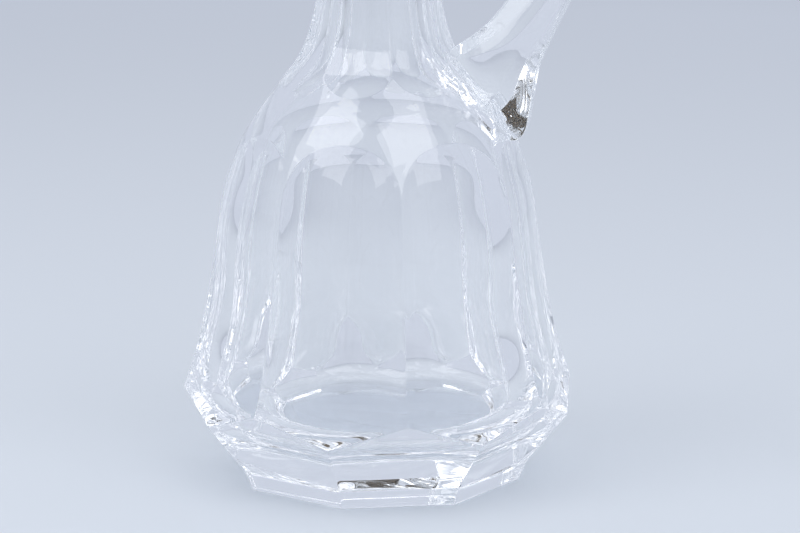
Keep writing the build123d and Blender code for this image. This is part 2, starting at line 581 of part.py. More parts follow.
# Thumb piece: a curved plate cut to a trefoil, standing on the strap
thumb_foot_z = FLANGE_TOP_Z + STRAP_THICKNESS
thumb_x = HINGE_X - THUMB_SETBACK
thumb_top_x = thumb_x + THUMB_LEAN
thumb_top_z = thumb_foot_z + THUMB_HEIGHT
with BuildPart() as thumb_piece:
    with BuildSketch(Plane.XZ):
        with BuildLine():
            hollow_x = thumb_x - THUMB_HOLLOW
            hollow_z = thumb_foot_z + THUMB_HEIGHT * THUMB_HOLLOW_SHARE
            Spline(
                (thumb_x, thumb_foot_z),
                (hollow_x, hollow_z),
                (thumb_top_x, thumb_top_z),
                tangents=[THUMB_FOOT_LEAN, THUMB_TOP_LEAN],
            )
            Line((thumb_top_x, thumb_top_z), (thumb_top_x - THUMB_THICKNESS, thumb_top_z))
            Spline(
                (thumb_x - THUMB_THICKNESS, thumb_foot_z),
                (hollow_x - THUMB_THICKNESS, hollow_z),
                (thumb_top_x - THUMB_THICKNESS, thumb_top_z),
                tangents=[THUMB_FOOT_LEAN, THUMB_TOP_LEAN],
            )
            Line((thumb_x - THUMB_THICKNESS, thumb_foot_z), (thumb_x, thumb_foot_z))
        make_face()
    extrude(amount=THUMB_LOBE_SPREAD + THUMB_LOBE_R, both=True)
    with BuildSketch(Plane.YZ):
        with Locations((0, thumb_foot_z + THUMB_HEIGHT / 2)):
            Rectangle(THUMB_STEM_WIDTH, THUMB_HEIGHT)
        with Locations((0, thumb_top_z - THUMB_LOBE_R)):
            Circle(THUMB_LOBE_R)
        lobe_z = thumb_top_z - THUMB_LOBE_DROP
        with Locations((THUMB_LOBE_SPREAD, lobe_z), (-THUMB_LOBE_SPREAD, lobe_z)):
            Circle(THUMB_LOBE_R)
        with Locations((0, thumb_foot_z + THUMB_FOOT_HEIGHT / 2)):
            Rectangle(STRAP_WIDTH, THUMB_FOOT_HEIGHT)
    extrude(amount=2 * HINGE_X, mode=Mode.INTERSECT)
    add(lid_strap.part, mode=Mode.SUBTRACT)
save(thumb_piece, "thumb_piece")
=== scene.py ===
"""A cut crystal liqueur decanter with an applied glass handle and a hinged, silver-plated lid.

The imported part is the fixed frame. This file makes the shown pieces, their finishes and the studio.
Everything is in metres, with the foot's centre at the origin, +Z up and +X towards the handle.
"""

import logging
from dataclasses import dataclass, field
from enum import Enum
from math import acos, atan2, cos, pi, radians, sin, sqrt, tau
from typing import Callable, ClassVar, Iterable, Sequence

import bmesh
import bpy
import numpy as np
from mathutils import Matrix, Vector


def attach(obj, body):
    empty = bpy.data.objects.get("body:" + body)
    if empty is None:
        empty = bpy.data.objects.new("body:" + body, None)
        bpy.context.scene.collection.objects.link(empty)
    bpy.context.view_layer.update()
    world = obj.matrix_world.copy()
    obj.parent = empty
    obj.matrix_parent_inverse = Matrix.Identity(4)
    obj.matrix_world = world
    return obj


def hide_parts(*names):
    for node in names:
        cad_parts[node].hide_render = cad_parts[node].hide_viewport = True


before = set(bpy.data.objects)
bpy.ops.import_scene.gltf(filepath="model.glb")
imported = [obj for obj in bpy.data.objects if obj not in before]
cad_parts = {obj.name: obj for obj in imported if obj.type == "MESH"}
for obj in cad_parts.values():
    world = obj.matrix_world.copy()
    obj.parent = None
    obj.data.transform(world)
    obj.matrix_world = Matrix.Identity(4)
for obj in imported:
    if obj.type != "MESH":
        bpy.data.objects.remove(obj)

log = logging.getLogger("decanter")

MM = 0.001
HOLLOW = "hollow"

Point = tuple[float, float]
Colour = tuple[float, float, float]


class Body(str, Enum):
    """The two bodies that the lid's hinge joins."""

    DECANTER = "decanter"
    LID = "lid"


class Slot(str, Enum):
    """The record's material slots."""

    CRYSTAL = "crystal"
    CEMENT = "cement"
    SILVER = "silver_plate"
    STEEL = "pin_steel"
    CORK = "cork"
    BRASS = "nut_brass"


def linear(red: int, green: int, blue: int) -> Colour:
    """Turns a colour written from 0 to 255, as a screen shows it, into the renderer's linear colour.

    Args:
        red: red from 0 to 255.
        green: green from 0 to 255.
        blue: blue from 0 to 255.

    Returns:
        The same colour in linear light.
    """
    shares = (red / 255, green / 255, blue / 255)
    return tuple(s / 12.92 if s <= 0.04045 else ((s + 0.055) / 1.055) ** 2.4 for s in shares)


# Curves


class SmoothLine:
    """A smooth curve through points in the (radius, height) plane, read by its height."""

    SAMPLES = 600

    def __init__(self, points: Sequence[Point], start: Point | None = None, end: Point | None = None) -> None:
        """Fits the curve.

        Args:
            points: (radius, height) points that the curve passes through.
            start: direction at the first point, or None to leave it free.
            end: direction at the last point, or None to leave it free.
        """
        knots = np.array(points, float)
        steps = np.linalg.norm(np.diff(knots, axis=0), axis=1)
        spots = np.concatenate(([0.0], np.cumsum(steps)))
        first = self._end_slope(spots[:4], knots[:4])
        last = self._end_slope(spots[::-1][:4], knots[::-1][:4])
        if start is not None:
            first = np.array(start) / np.linalg.norm(start) * np.linalg.norm(first)
        if end is not None:
            last = np.array(end) / np.linalg.norm(end) * np.linalg.norm(last)
        slopes = self._slopes(spots, knots, first, last)
        reading = np.linspace(0.0, spots[-1], self.SAMPLES)
        self.points = self._read(spots, knots, slopes, reading)

    @staticmethod
    def _end_slope(spots: np.ndarray, knots: np.ndarray) -> np.ndarray:
        """The slope at the first spot of the cubic through the first four points."""
        slope = np.zeros(knots.shape[1])
        for i in range(len(spots)):
            others = [j for j in range(len(spots)) if j != i]
            scale = np.prod([spots[i] - spots[j] for j in others])
            rate = sum(np.prod([spots[0] - spots[j] for j in others if j != k]) for k in others)
            slope += knots[i] * rate / scale
        return slope

    @staticmethod
    def _slopes(spots: np.ndarray, knots: np.ndarray, first: np.ndarray, last: np.ndarray) -> np.ndarray:
        """Slopes at every point that make the curve's bend continuous."""
        count = len(spots)
        gaps = np.diff(spots)
        system = np.eye(count)
        right = np.zeros_like(knots)
        right[0], right[-1] = first, last
        for i in range(1, count - 1):
            system[i, i - 1 : i + 2] = (gaps[i], 2 * (gaps[i - 1] + gaps[i]), gaps[i - 1])
            before = (knots[i] - knots[i - 1]) / gaps[i - 1]
            after = (knots[i + 1] - knots[i]) / gaps[i]
            right[i] = 3 * (gaps[i] * before + gaps[i - 1] * after)
        return np.linalg.solve(system, right)

    @staticmethod
    def _read(spots: np.ndarray, knots: np.ndarray, slopes: np.ndarray, reading: np.ndarray) -> np.ndarray:
        """Reads the curve at many places along it."""
        piece = np.clip(np.searchsorted(spots, reading, side="right") - 1, 0, len(spots) - 2)
        gap = spots[piece + 1] - spots[piece]
        t = ((reading - spots[piece]) / gap)[:, None]
        gap = gap[:, None]
        return (
            (2 * t**3 - 3 * t**2 + 1) * knots[piece]
            + (t**3 - 2 * t**2 + t) * gap * slopes[piece]
            + (3 * t**2 - 2 * t**3) * knots[piece + 1]
            + (t**3 - t**2) * gap * slopes[piece + 1]
        )

    def radius(self, height: float) -> float:
        """The curve's radius at a height; past its ends it keeps the end's radius."""
        return float(np.interp(height, self.points[:, 1], self.points[:, 0]))

    def along(self, count: int) -> list[np.ndarray]:
        """Evenly spaced points from the first to the last.

        Args:
            count: how many points.

        Returns:
            The points.
        """
        picks = np.linspace(0, self.SAMPLES - 1, count)
        whole = np.arange(self.SAMPLES)
        columns = [np.interp(picks, whole, self.points[:, axis]) for axis in range(self.points.shape[1])]
        return list(np.stack(columns, axis=1))


# Mesh helpers


def new_piece(name: str, mesh: bmesh.types.BMesh, sharp: float = 30.0) -> bpy.types.Object:
    """Makes an object of a mesh, smooth but for its sharp edges.

    Args:
        name: the object's name.
        mesh: the mesh, freed here.
        sharp: edges that turn by more than this, in degrees, stay sharp.

    Returns:
        The new object, at the origin.
    """
    for face in mesh.faces:
        face.smooth = True
    for edge in mesh.edges:
        edge.smooth = len(edge.link_faces) == 2 and edge.calc_face_angle(0.0) < radians(sharp)
    data = bpy.data.meshes.new(name)
    mesh.to_mesh(data)
    mesh.free()
    piece = bpy.data.objects.new(name, data)
    bpy.context.scene.collection.objects.link(piece)
    return piece


def clean(mesh: bmesh.types.BMesh, gap: float = 0.002 * MM) -> None:
    """Merges doubled vertices and turns all faces outwards.

    Args:
        mesh: the mesh.
        gap: vertices nearer than this are merged.
    """
    bmesh.ops.remove_doubles(mesh, verts=mesh.verts, dist=gap)
    bmesh.ops.recalc_face_normals(mesh, faces=mesh.faces)


def wrapped_sheet(rows: int, columns: int, place: Callable[[int, int], Vector]) -> bmesh.types.BMesh:
    """Wraps a grid into a closed tube and caps its ends.

    Args:
        rows: how many rows of vertices run from one end to the other.
        columns: how many columns go round.
        place: gives a vertex's place from its row and column.

    Returns:
        The closed mesh.
    """
    mesh = bmesh.new()
    bmesh.ops.create_grid(mesh, x_segments=columns, y_segments=rows - 1, size=1.0)
    for vert in mesh.verts:
        column = round((vert.co.x + 1) / 2 * columns)
        row = round((vert.co.y + 1) / 2 * (rows - 1))
        vert.co = place(row, column % columns)
    clean(mesh)
    bmesh.ops.holes_fill(mesh, edges=[e for e in mesh.edges if e.is_boundary], sides=0)
    bmesh.ops.recalc_face_normals(mesh, faces=mesh.faces)
    return mesh


def mark_hollows(piece: bpy.types.Object, reach: float = 0.5 * MM) -> None:
    """Writes an attribute that tells how hollow the surface is at each vertex, from 0 to 1.

    Args:
        piece: the piece.
        reach: depth of a hollow, over the length of its edges, that counts as full.
    """
    mesh = bmesh.new()
    mesh.from_mesh(piece.data)
    mesh.normal_update()
    values = {}
    for vert in mesh.verts:
        around = [e.other_vert(vert).co - vert.co for e in vert.link_edges]
        bend = [(run.dot(vert.normal)) / max(run.length_squared, 1e-12) for run in around]
        values[vert.index] = min(max(max(bend) * reach, 0.0), 1.0)
    for _ in range(2):
        spread = {}
        for vert in mesh.verts:
            near = [values[e.other_vert(vert).index] for e in vert.link_edges]
            spread[vert.index] = 0.5 * values[vert.index] + 0.5 * sum(near) / len(near)
        values = spread
    mesh.free()
    layer = piece.data.attributes.new(HOLLOW, "FLOAT", "POINT")
    layer.data.foreach_set("value", [values[i] for i in range(len(values))])


def turned(outline: Iterable[Point], steps: int = 128) -> bmesh.types.BMesh:
    """Turns an outline round the vessel's axis, as on a lathe.

    Args:
        outline: (radius, height) points; ends on the axis close the shape.
        steps: how many steps go round.

    Returns:
        The turned mesh.
    """
    mesh = bmesh.new()
    verts = [mesh.verts.new((r, 0.0, z)) for (r, z) in outline]
    edges = [mesh.edges.new(pair) for pair in zip(verts, verts[1:])]
    bmesh.ops.spin(
        mesh,
        geom=verts + edges,
        cent=(0, 0, 0),
        axis=(0, 0, 1),
        angle=tau,
        steps=steps,
        use_merge=True,
        use_duplicate=False,
    )
    clean(mesh)
    return mesh


def soften(mesh: bmesh.types.BMesh, width: float, over: float, segments: int = 2) -> None:
    """Rounds the edges that turn by more than an angle.

    Args:
        mesh: the mesh.
        width: the rounding's width on each side of the edge.
        over: smallest turn, in degrees, of an edge that is rounded.
        segments: steps in the rounding.
    """
    edges = [e for e in mesh.edges if e.is_manifold and e.calc_face_angle(0.0) > radians(over)]
    bmesh.ops.bevel(
        mesh,
        geom=edges,
        offset=width,
        offset_type="OFFSET",
        affect="EDGES",
        segments=segments,
        profile=0.5,
        material=-1,
        clamp_overlap=True,
    )


def combine(piece: bpy.types.Object, other: bpy.types.Object, how: str) -> None:
    """Joins or cuts a piece with another, which is then removed.

    Args:
        piece: the piece that is kept.
        other: the piece that is added or taken away.
        how: UNION, DIFFERENCE or INTERSECT.
    """
    step = piece.modifiers.new("combine", "BOOLEAN")
    step.operation = how
    step.solver = "EXACT"
    step.object = other
    bpy.context.view_layer.update()
    evaluated = piece.evaluated_get(bpy.context.evaluated_depsgraph_get())
    data = bpy.data.meshes.new_from_object(evaluated)
    piece.modifiers.clear()
    piece.data = data
    bpy.data.objects.remove(other)


# Glass


@dataclass(frozen=True)
class CutBody:
    """The vessel's outside: eight curved panels, lower facets, arched shoulder and fluted neck."""

    sides: int = 8
    foot_corner_r: float = 40.3 * MM
    band_corner_r: float = 42.5 * MM
    band_top: float = 5.3 * MM
    widest_corner_r: float = 55.0 * MM
    corner_z: float = 26.6 * MM
    panel_skirt: float = 13.0 * MM
    panel_flare: float = 7.2 * MM
    low_body: Point = (45.4 * MM, 46.0 * MM)
    high_body: Point = (41.6 * MM, 70.0 * MM)
    arch_spring: Point = (42.6 * MM, 84.0 * MM)
    arch_top: Point = (36.5 * MM, 98.0 * MM)
    flute_foot: Point = (28.3 * MM, 109.5 * MM)
    flute_waist_r: float = 14.2 * MM
    flute_head: float = 155.0 * MM
    seat_r: float = 15.0 * MM
    rim: float = 180.0 * MM
    round_neck: tuple[Point, ...] = ((0.264, 0.474), (0.527, 0.188), (0.802, 0.053))
    fluted_neck: tuple[Point, ...] = ((0.141, 0.553), (0.516, 0.135), (0.791, 0.0))
    bore_r: float = 10.0 * MM
    floor: float = 16.6 * MM
    floor_corner_r: float = 8.0 * MM
    widest_wall: float = 7.1 * MM
    bell: Point = (42.7 * MM, 31.8 * MM)
    low_wall: float = 6.2 * MM
    mid_wall: float = 4.8 * MM
    high_wall: float = 3.8 * MM
    shoulder_wall: float = 4.8 * MM
    arch_wall: float = 7.2 * MM
    flute_foot_wall: float = 7.8 * MM
    neck_walls: tuple[float, ...] = (6.6 * MM, 4.5 * MM, 4.0 * MM)

    @property
    def half_step(self) -> float:
        """Half the angle from one panel to the next."""
        return pi / self.sides

    @property
    def flat_share(self) -> float:
        """Distance to a flat over distance to a corner."""
        return cos(self.half_step)

    def neck_points(self, fall: Iterable[Point], end_r: float) -> list[Point]:
        """Points down the neck, from the foot of the flutes.

        Args:
            fall: share of the flutes' height and share of the radius still to lose, for each point.
            end_r: radius at the top.

        Returns:
            (radius, height) points.
        """
        foot_r, foot_z = self.flute_foot
        rise = self.flute_head - foot_z
        return [(end_r + left * (foot_r - end_r), foot_z + up * rise) for (up, left) in fall]

    def panel_line(self) -> SmoothLine:
        """The panels' curve, from below the widest corners to above the arch crowns."""
        widest_r = self.widest_corner_r * self.flat_share
        top_r, top_z = self.arch_top
        return SmoothLine(
            [
                (widest_r + self.panel_flare, self.corner_z - self.panel_skirt),
                (widest_r, self.corner_z),
                self.low_body,
                self.high_body,
                (self.arch_spring[0] * self.flat_share, self.arch_spring[1]),
                (top_r + 0.6 * MM, top_z - 5 * MM),
                (top_r, top_z),
                (top_r, top_z + 5 * MM),
            ]
        )

    def shoulder_line(self) -> SmoothLine:
        """The round shoulder's and neck's curve."""
        high_r, high_z = self.high_body
        return SmoothLine(
            [
                (high_r / self.flat_share + 1.5 * MM, high_z + 2 * MM),
                (self.arch_spring[0] + 0.1 * MM, self.arch_spring[1]),
                self.arch_top,
                self.flute_foot,
                *self.neck_points(self.round_neck, self.seat_r),
                (self.seat_r, self.flute_head + 2 * MM),
            ],
            start=(-0.2, 1.0),
            end=(0.0, 1.0),
        )

    def flute_line(self) -> SmoothLine:
        """The flutes' curve along the neck."""
        foot_r, foot_z = self.flute_foot
        return SmoothLine(
            [
                (foot_r + 3.6 * MM, foot_z - 2.6 * MM),
                self.flute_foot,
                *self.neck_points(self.fluted_neck, self.flute_waist_r),
                (self.flute_waist_r, self.flute_head - 3.5 * MM),
                (self.seat_r + 0.4 * MM, self.flute_head + 1 * MM),
            ]
        )

    def cavity_outline(self) -> list[Point]:
        """The blown inside, from the middle of the floor up past the rim."""
        cavity_r = self.widest_corner_r * self.flat_share - self.widest_wall
        side_z = self.floor + self.floor_corner_r
        spring_r = self.arch_spring[0] * self.flat_share
        neck = self.neck_points(self.fluted_neck, self.flute_waist_r)
        mid_r, mid_z = [(low + high) / 2 for (low, high) in zip(self.low_body, self.high_body)]
        wall_line = SmoothLine(
            [
                (cavity_r, side_z),
                self.bell,
                (self.low_body[0] - self.low_wall, self.low_body[1]),
                (mid_r - self.mid_wall, mid_z),
                (self.high_body[0] - self.high_wall, self.high_body[1]),
                (spring_r - self.shoulder_wall, self.arch_spring[1]),
                (self.arch_top[0] - self.arch_wall, self.arch_top[1]),
                (self.flute_foot[0] - self.flute_foot_wall, self.flute_foot[1]),
                *[(r - wall, z) for ((r, z), wall) in zip(neck, self.neck_walls)],
                (self.bore_r, self.flute_head),
            ],
            start=(0.0, 1.0),
            end=(0.0, 1.0),
        )
        corner_x = cavity_r - self.floor_corner_r
        turns = [i / 12 * pi / 2 for i in range(12)]
        corner = [
            (corner_x + self.floor_corner_r * sin(t), side_z - self.floor_corner_r * cos(t)) for t in turns
        ]
        floor = [(corner_x * i / 6, self.floor) for i in range(6)]
        above = (self.bore_r, self.rim + 8 * MM)
        return [*floor, *corner, *[tuple(p) for p in wall_line.along(110)], above, (0.0, above[1])]


@dataclass
class GlassBody:
    """Vessel and handle: the handle is laid on hot, so the two are one piece of glass."""

    cut: CutBody = field(default_factory=CutBody)
    columns_to_edge: int = 11
    edge_support: float = radians(1.3)
    row_support: float = 1.1 * MM
    rows_each: tuple[int, ...] = (3, 12, 44, 14, 30, 8)
    arris: float = 0.3 * MM

    def _turns(self) -> list[float]:
        """Column angles over one panel, from one of its edges to the next, closer at its edges."""
        half = self.cut.half_step
        inner = np.linspace(self.edge_support, half - self.edge_support, self.columns_to_edge - 1)
        side = [0.0, *inner]
        return [*[-half + t for t in side], *side]

    @staticmethod
    def _crossing(low: float, high: float, gap: Callable[[float], float]) -> float:
        """The height between low and high where gap first turns positive, by halving.

        Args:
            low: lower height.
            high: upper height.
            gap: a function of height.

        Returns:
            The height, or the upper one where there is no crossing.
        """
        heights = np.linspace(low, high, 120)
        values = [gap(float(z)) for z in heights]
        for below, above, first, second in zip(heights, heights[1:], values, values[1:]):
            if first <= 0 < second:
                for _ in range(30):
                    middle = (below + above) / 2
                    if gap(middle) > 0:
                        above = middle
                    else:
                        below = middle
                return float(below)
        return float(high)

    def _outside(self) -> bmesh.types.BMesh:
        """The closed outside of the vessel, with its creases along rows and columns."""
        cut = self.cut
        panel, shoulder, flute = cut.panel_line(), cut.shoulder_line(), cut.flute_line()
        band_flat = cut.band_corner_r * cut.flat_share
        lean = (cut.widest_corner_r - band_flat) / (cut.corner_z - cut.band_top)

        def facet_r(z: float) -> float:
            """Distance to the lower facets or to the foot's band at a height."""
            if z <= cut.band_top:
                foot_flat = cut.foot_corner_r * cut.flat_share
                return foot_flat + (band_flat - foot_flat) * z / cut.band_top
            return band_flat + (z - cut.band_top) * lean

        def column(turn: float) -> list[Point]:
            """(radius, height) down one column, from the foot to the rim."""
            off_panel = cos(turn)
            off_facet = cos(cut.half_step - abs(turn))
            facet_top = self._crossing(
                cut.corner_z - cut.panel_skirt + 0.5 * MM,
                cut.corner_z,
                lambda z: facet_r(z) / off_facet - panel.radius(z) / off_panel,
            )
            arch = self._crossing(
                cut.arch_spring[1] - 4 * MM,
                cut.arch_top[1],
                lambda z: panel.radius(z) / off_panel - shoulder.radius(z),
            )
            flute_low = self._crossing(
                cut.flute_foot[1] - 1 * MM,
                cut.flute_head - 22 * MM,
                lambda z: shoulder.radius(z) - flute.radius(z) / off_panel,
            )
            flute_high = self._crossing(
                flute_low + 0.5 * MM,
                cut.flute_head + 1 * MM,
                lambda z: flute.radius(z) / off_panel - shoulder.radius(z),
            )
            breaks = [0.0, cut.band_top, facet_top, arch, flute_low, flute_high, cut.rim]
            readers = [
                lambda z: facet_r(z) / off_facet,
                lambda z: facet_r(z) / off_facet,
                lambda z: panel.radius(z) / off_panel,
                shoulder.radius,
                lambda z: min(flute.radius(z) / off_panel, shoulder.radius(z)),
                shoulder.radius,
            ]
            points: list[Point] = []
            for start, end, count, read in zip(breaks, breaks[1:], self.rows_each, readers):
                near = min(self.row_support, (end - start) / 5)
                middle = np.linspace(start + near, end - near, count)
                points += [(read(z), float(z)) for z in (start, *middle)]
            return [*points, (shoulder.radius(cut.rim), cut.rim)]

        turns = self._turns()
        across = {round(abs(t), 9): column(t) for t in turns}
        per_side = len(turns)
        heights = len(next(iter(across.values())))

        def place(row: int, index: int) -> Vector:
            """Where a vertex goes."""
            panel_number, inside = divmod(index, per_side)
            turn = turns[inside]
            radius, z = across[round(abs(turn), 9)][row]
            angle = panel_number * 2 * cut.half_step + turn
            return Vector((radius * cos(angle), radius * sin(angle), z))

        mesh = wrapped_sheet(heights, per_side * cut.sides, place)
        soften(mesh, self.arris, over=9.0, segments=3)
        clean(mesh, 0.01 * MM)
        return mesh

    def build(self) -> bpy.types.Object:
        """Joins vessel and handle, then hollows them.

        Returns:
            The finished glass.
        """
        vessel = new_piece("cut_glass", self._outside())
        handle = new_piece("handle_glass", Handle(self.cut).mesh())
        combine(vessel, handle, "UNION")
        inside = new_piece("inside", turned(self.cut.cavity_outline(), steps=160))
        combine(vessel, inside, "DIFFERENCE")
        mesh = bmesh.new()
        mesh.from_mesh(vessel.data)
        bpy.data.objects.remove(vessel)
        clean(mesh)
        piece = new_piece("cut_glass", mesh, sharp=32.0)
        Crystal().dress(piece)
        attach(piece, Body.DECANTER.value)
        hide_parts("glass_vessel", "glass_handle")
        return piece


Section = tuple[Point, Point, float, Point, Point, float]


@dataclass(frozen=True)
class Handle:
    """The applied handle: eight-cornered sections from the shoulder, round the bow, to the neck.

    Each section runs from an inner to an outer point (x, z), measured in millimetres from its
    anchor. Then come its half widths at the inner flat, the ridge, the belly and the outer flat,
    where the ridge and the belly are led by their share of the section's depth.
    """

    cut: CutBody
    reach: float = 58.0 * MM
    bow_rise: float = 25.5 * MM
    rings: int = 150
    arris: float = 0.35 * MM
    root: tuple[Section, ...] = (
        ((-18.5, 17.5), (-2.5, -1.4), 1.2, (0.14, 4.2), (0.60, 9.4), 1.6),
        ((-15.0, 22.8), (3.1, -1.6), 0.9, (0.13, 3.2), (0.60, 8.7), 1.2),
        ((-10.7, 25.8), (5.9, 5.0), 2.6, (0.21, 6.0), (0.60, 7.2), 2.2),
        ((-5.6, 29.8), (7.7, 16.6), 3.1, (0.34, 6.8), (0.66, 5.6), 2.8),
    )
    bow: tuple[Section, ...] = (
        ((-21.5, -17.6), (-8.8, -25.2), 3.2, (0.45, 6.6), (0.74, 5.2), 3.1),
        ((-14.9, -9.2), (-3.0, -12.8), 3.1, (0.5, 6.2), (0.75, 4.95), 3.1),
        ((-11.8, -0.4), (0.0, 0.4), 3.1, (0.5, 6.2), (0.75, 4.95), 3.1),
        ((-14.0, 7.0), (-4.0, 12.4), 3.1, (0.5, 6.1), (0.75, 4.9), 3.1),
        ((-19.8, 9.8), (-13.8, 18.4), 3.1, (0.5, 6.0), (0.75, 4.85), 3.1),
    )
    top: tuple[Section, ...] = (
        ((17.0, 3.4), (19.2, 13.0), 3.1, (0.5, 5.9), (0.75, 4.8), 3.1),
        ((9.8, -3.5), (8.8, 4.6), 3.1, (0.5, 5.9), (0.75, 4.8), 3.1),
        ((2.8, -9.4), (1.6, -1.6), 3.3, (0.5, 6.3), (0.75, 5.15), 3.3),
        ((-3.7, -11.8), (-4.2, -3.8), 3.5, (0.5, 6.8), (0.75, 5.5), 3.5),
    )

    def _corners(self, anchor: Point, section: Section) -> list[Vector]:
        """The eight corners of a section, in order round it.

        Args:
            anchor: the (x, z) point that the section is measured from.
            section: the section.

        Returns:
            Its corners.
        """
        inner, outer, inner_half, ridge, belly, outer_half = section
        start = Vector((anchor[0] + inner[0] * MM, 0, anchor[1] + inner[1] * MM))
        run = Vector((outer[0] - inner[0], 0, outer[1] - inner[1])) * MM
        side = [(0.0, inner_half), ridge, belly, (1.0, outer_half)]
        left = [start + run * share + Vector((0, -half * MM, 0)) for (share, half) in side]
        right = [start + run * share + Vector((0, half * MM, 0)) for (share, half) in reversed(side)]
        return left + right

    def mesh(self) -> bmesh.types.BMesh:
        """Stretches smooth rails through the sections' corners.

        Returns:
            The closed handle, with its ends inside the vessel's glass.
        """
        bow_z = (self.cut.arch_top[1] + self.cut.flute_head) / 2 + self.bow_rise
        anchors = (self.cut.arch_top, (self.reach, bow_z), (self.cut.flute_waist_r, self.cut.flute_head))
        groups = zip(anchors, (self.root, self.bow, self.top))
        sections = [self._corners(anchor, section) for anchor, rows in groups for section in rows]
        corner_count = len(sections[0])
        rails = [
            SmoothLine([tuple(section[corner]) for section in sections]).along(self.rings)
            for corner in range(corner_count)
        ]
        parts = (0.0, 0.16, 0.5, 0.84)

        def place(row: int, column: int) -> Vector:
            """Where a vertex goes: on a rail, or part of the way to the next."""
            corner, part = divmod(column, len(parts))
            first = Vector(rails[corner][row])
            second = Vector(rails[(corner + 1) % corner_count][row])
            return first.lerp(second, parts[part])

        mesh = wrapped_sheet(self.rings, corner_count * len(parts), place)
        soften(mesh, self.arris, over=14.0, segments=3)
        clean(mesh, 0.01 * MM)
        return mesh


# Finishes


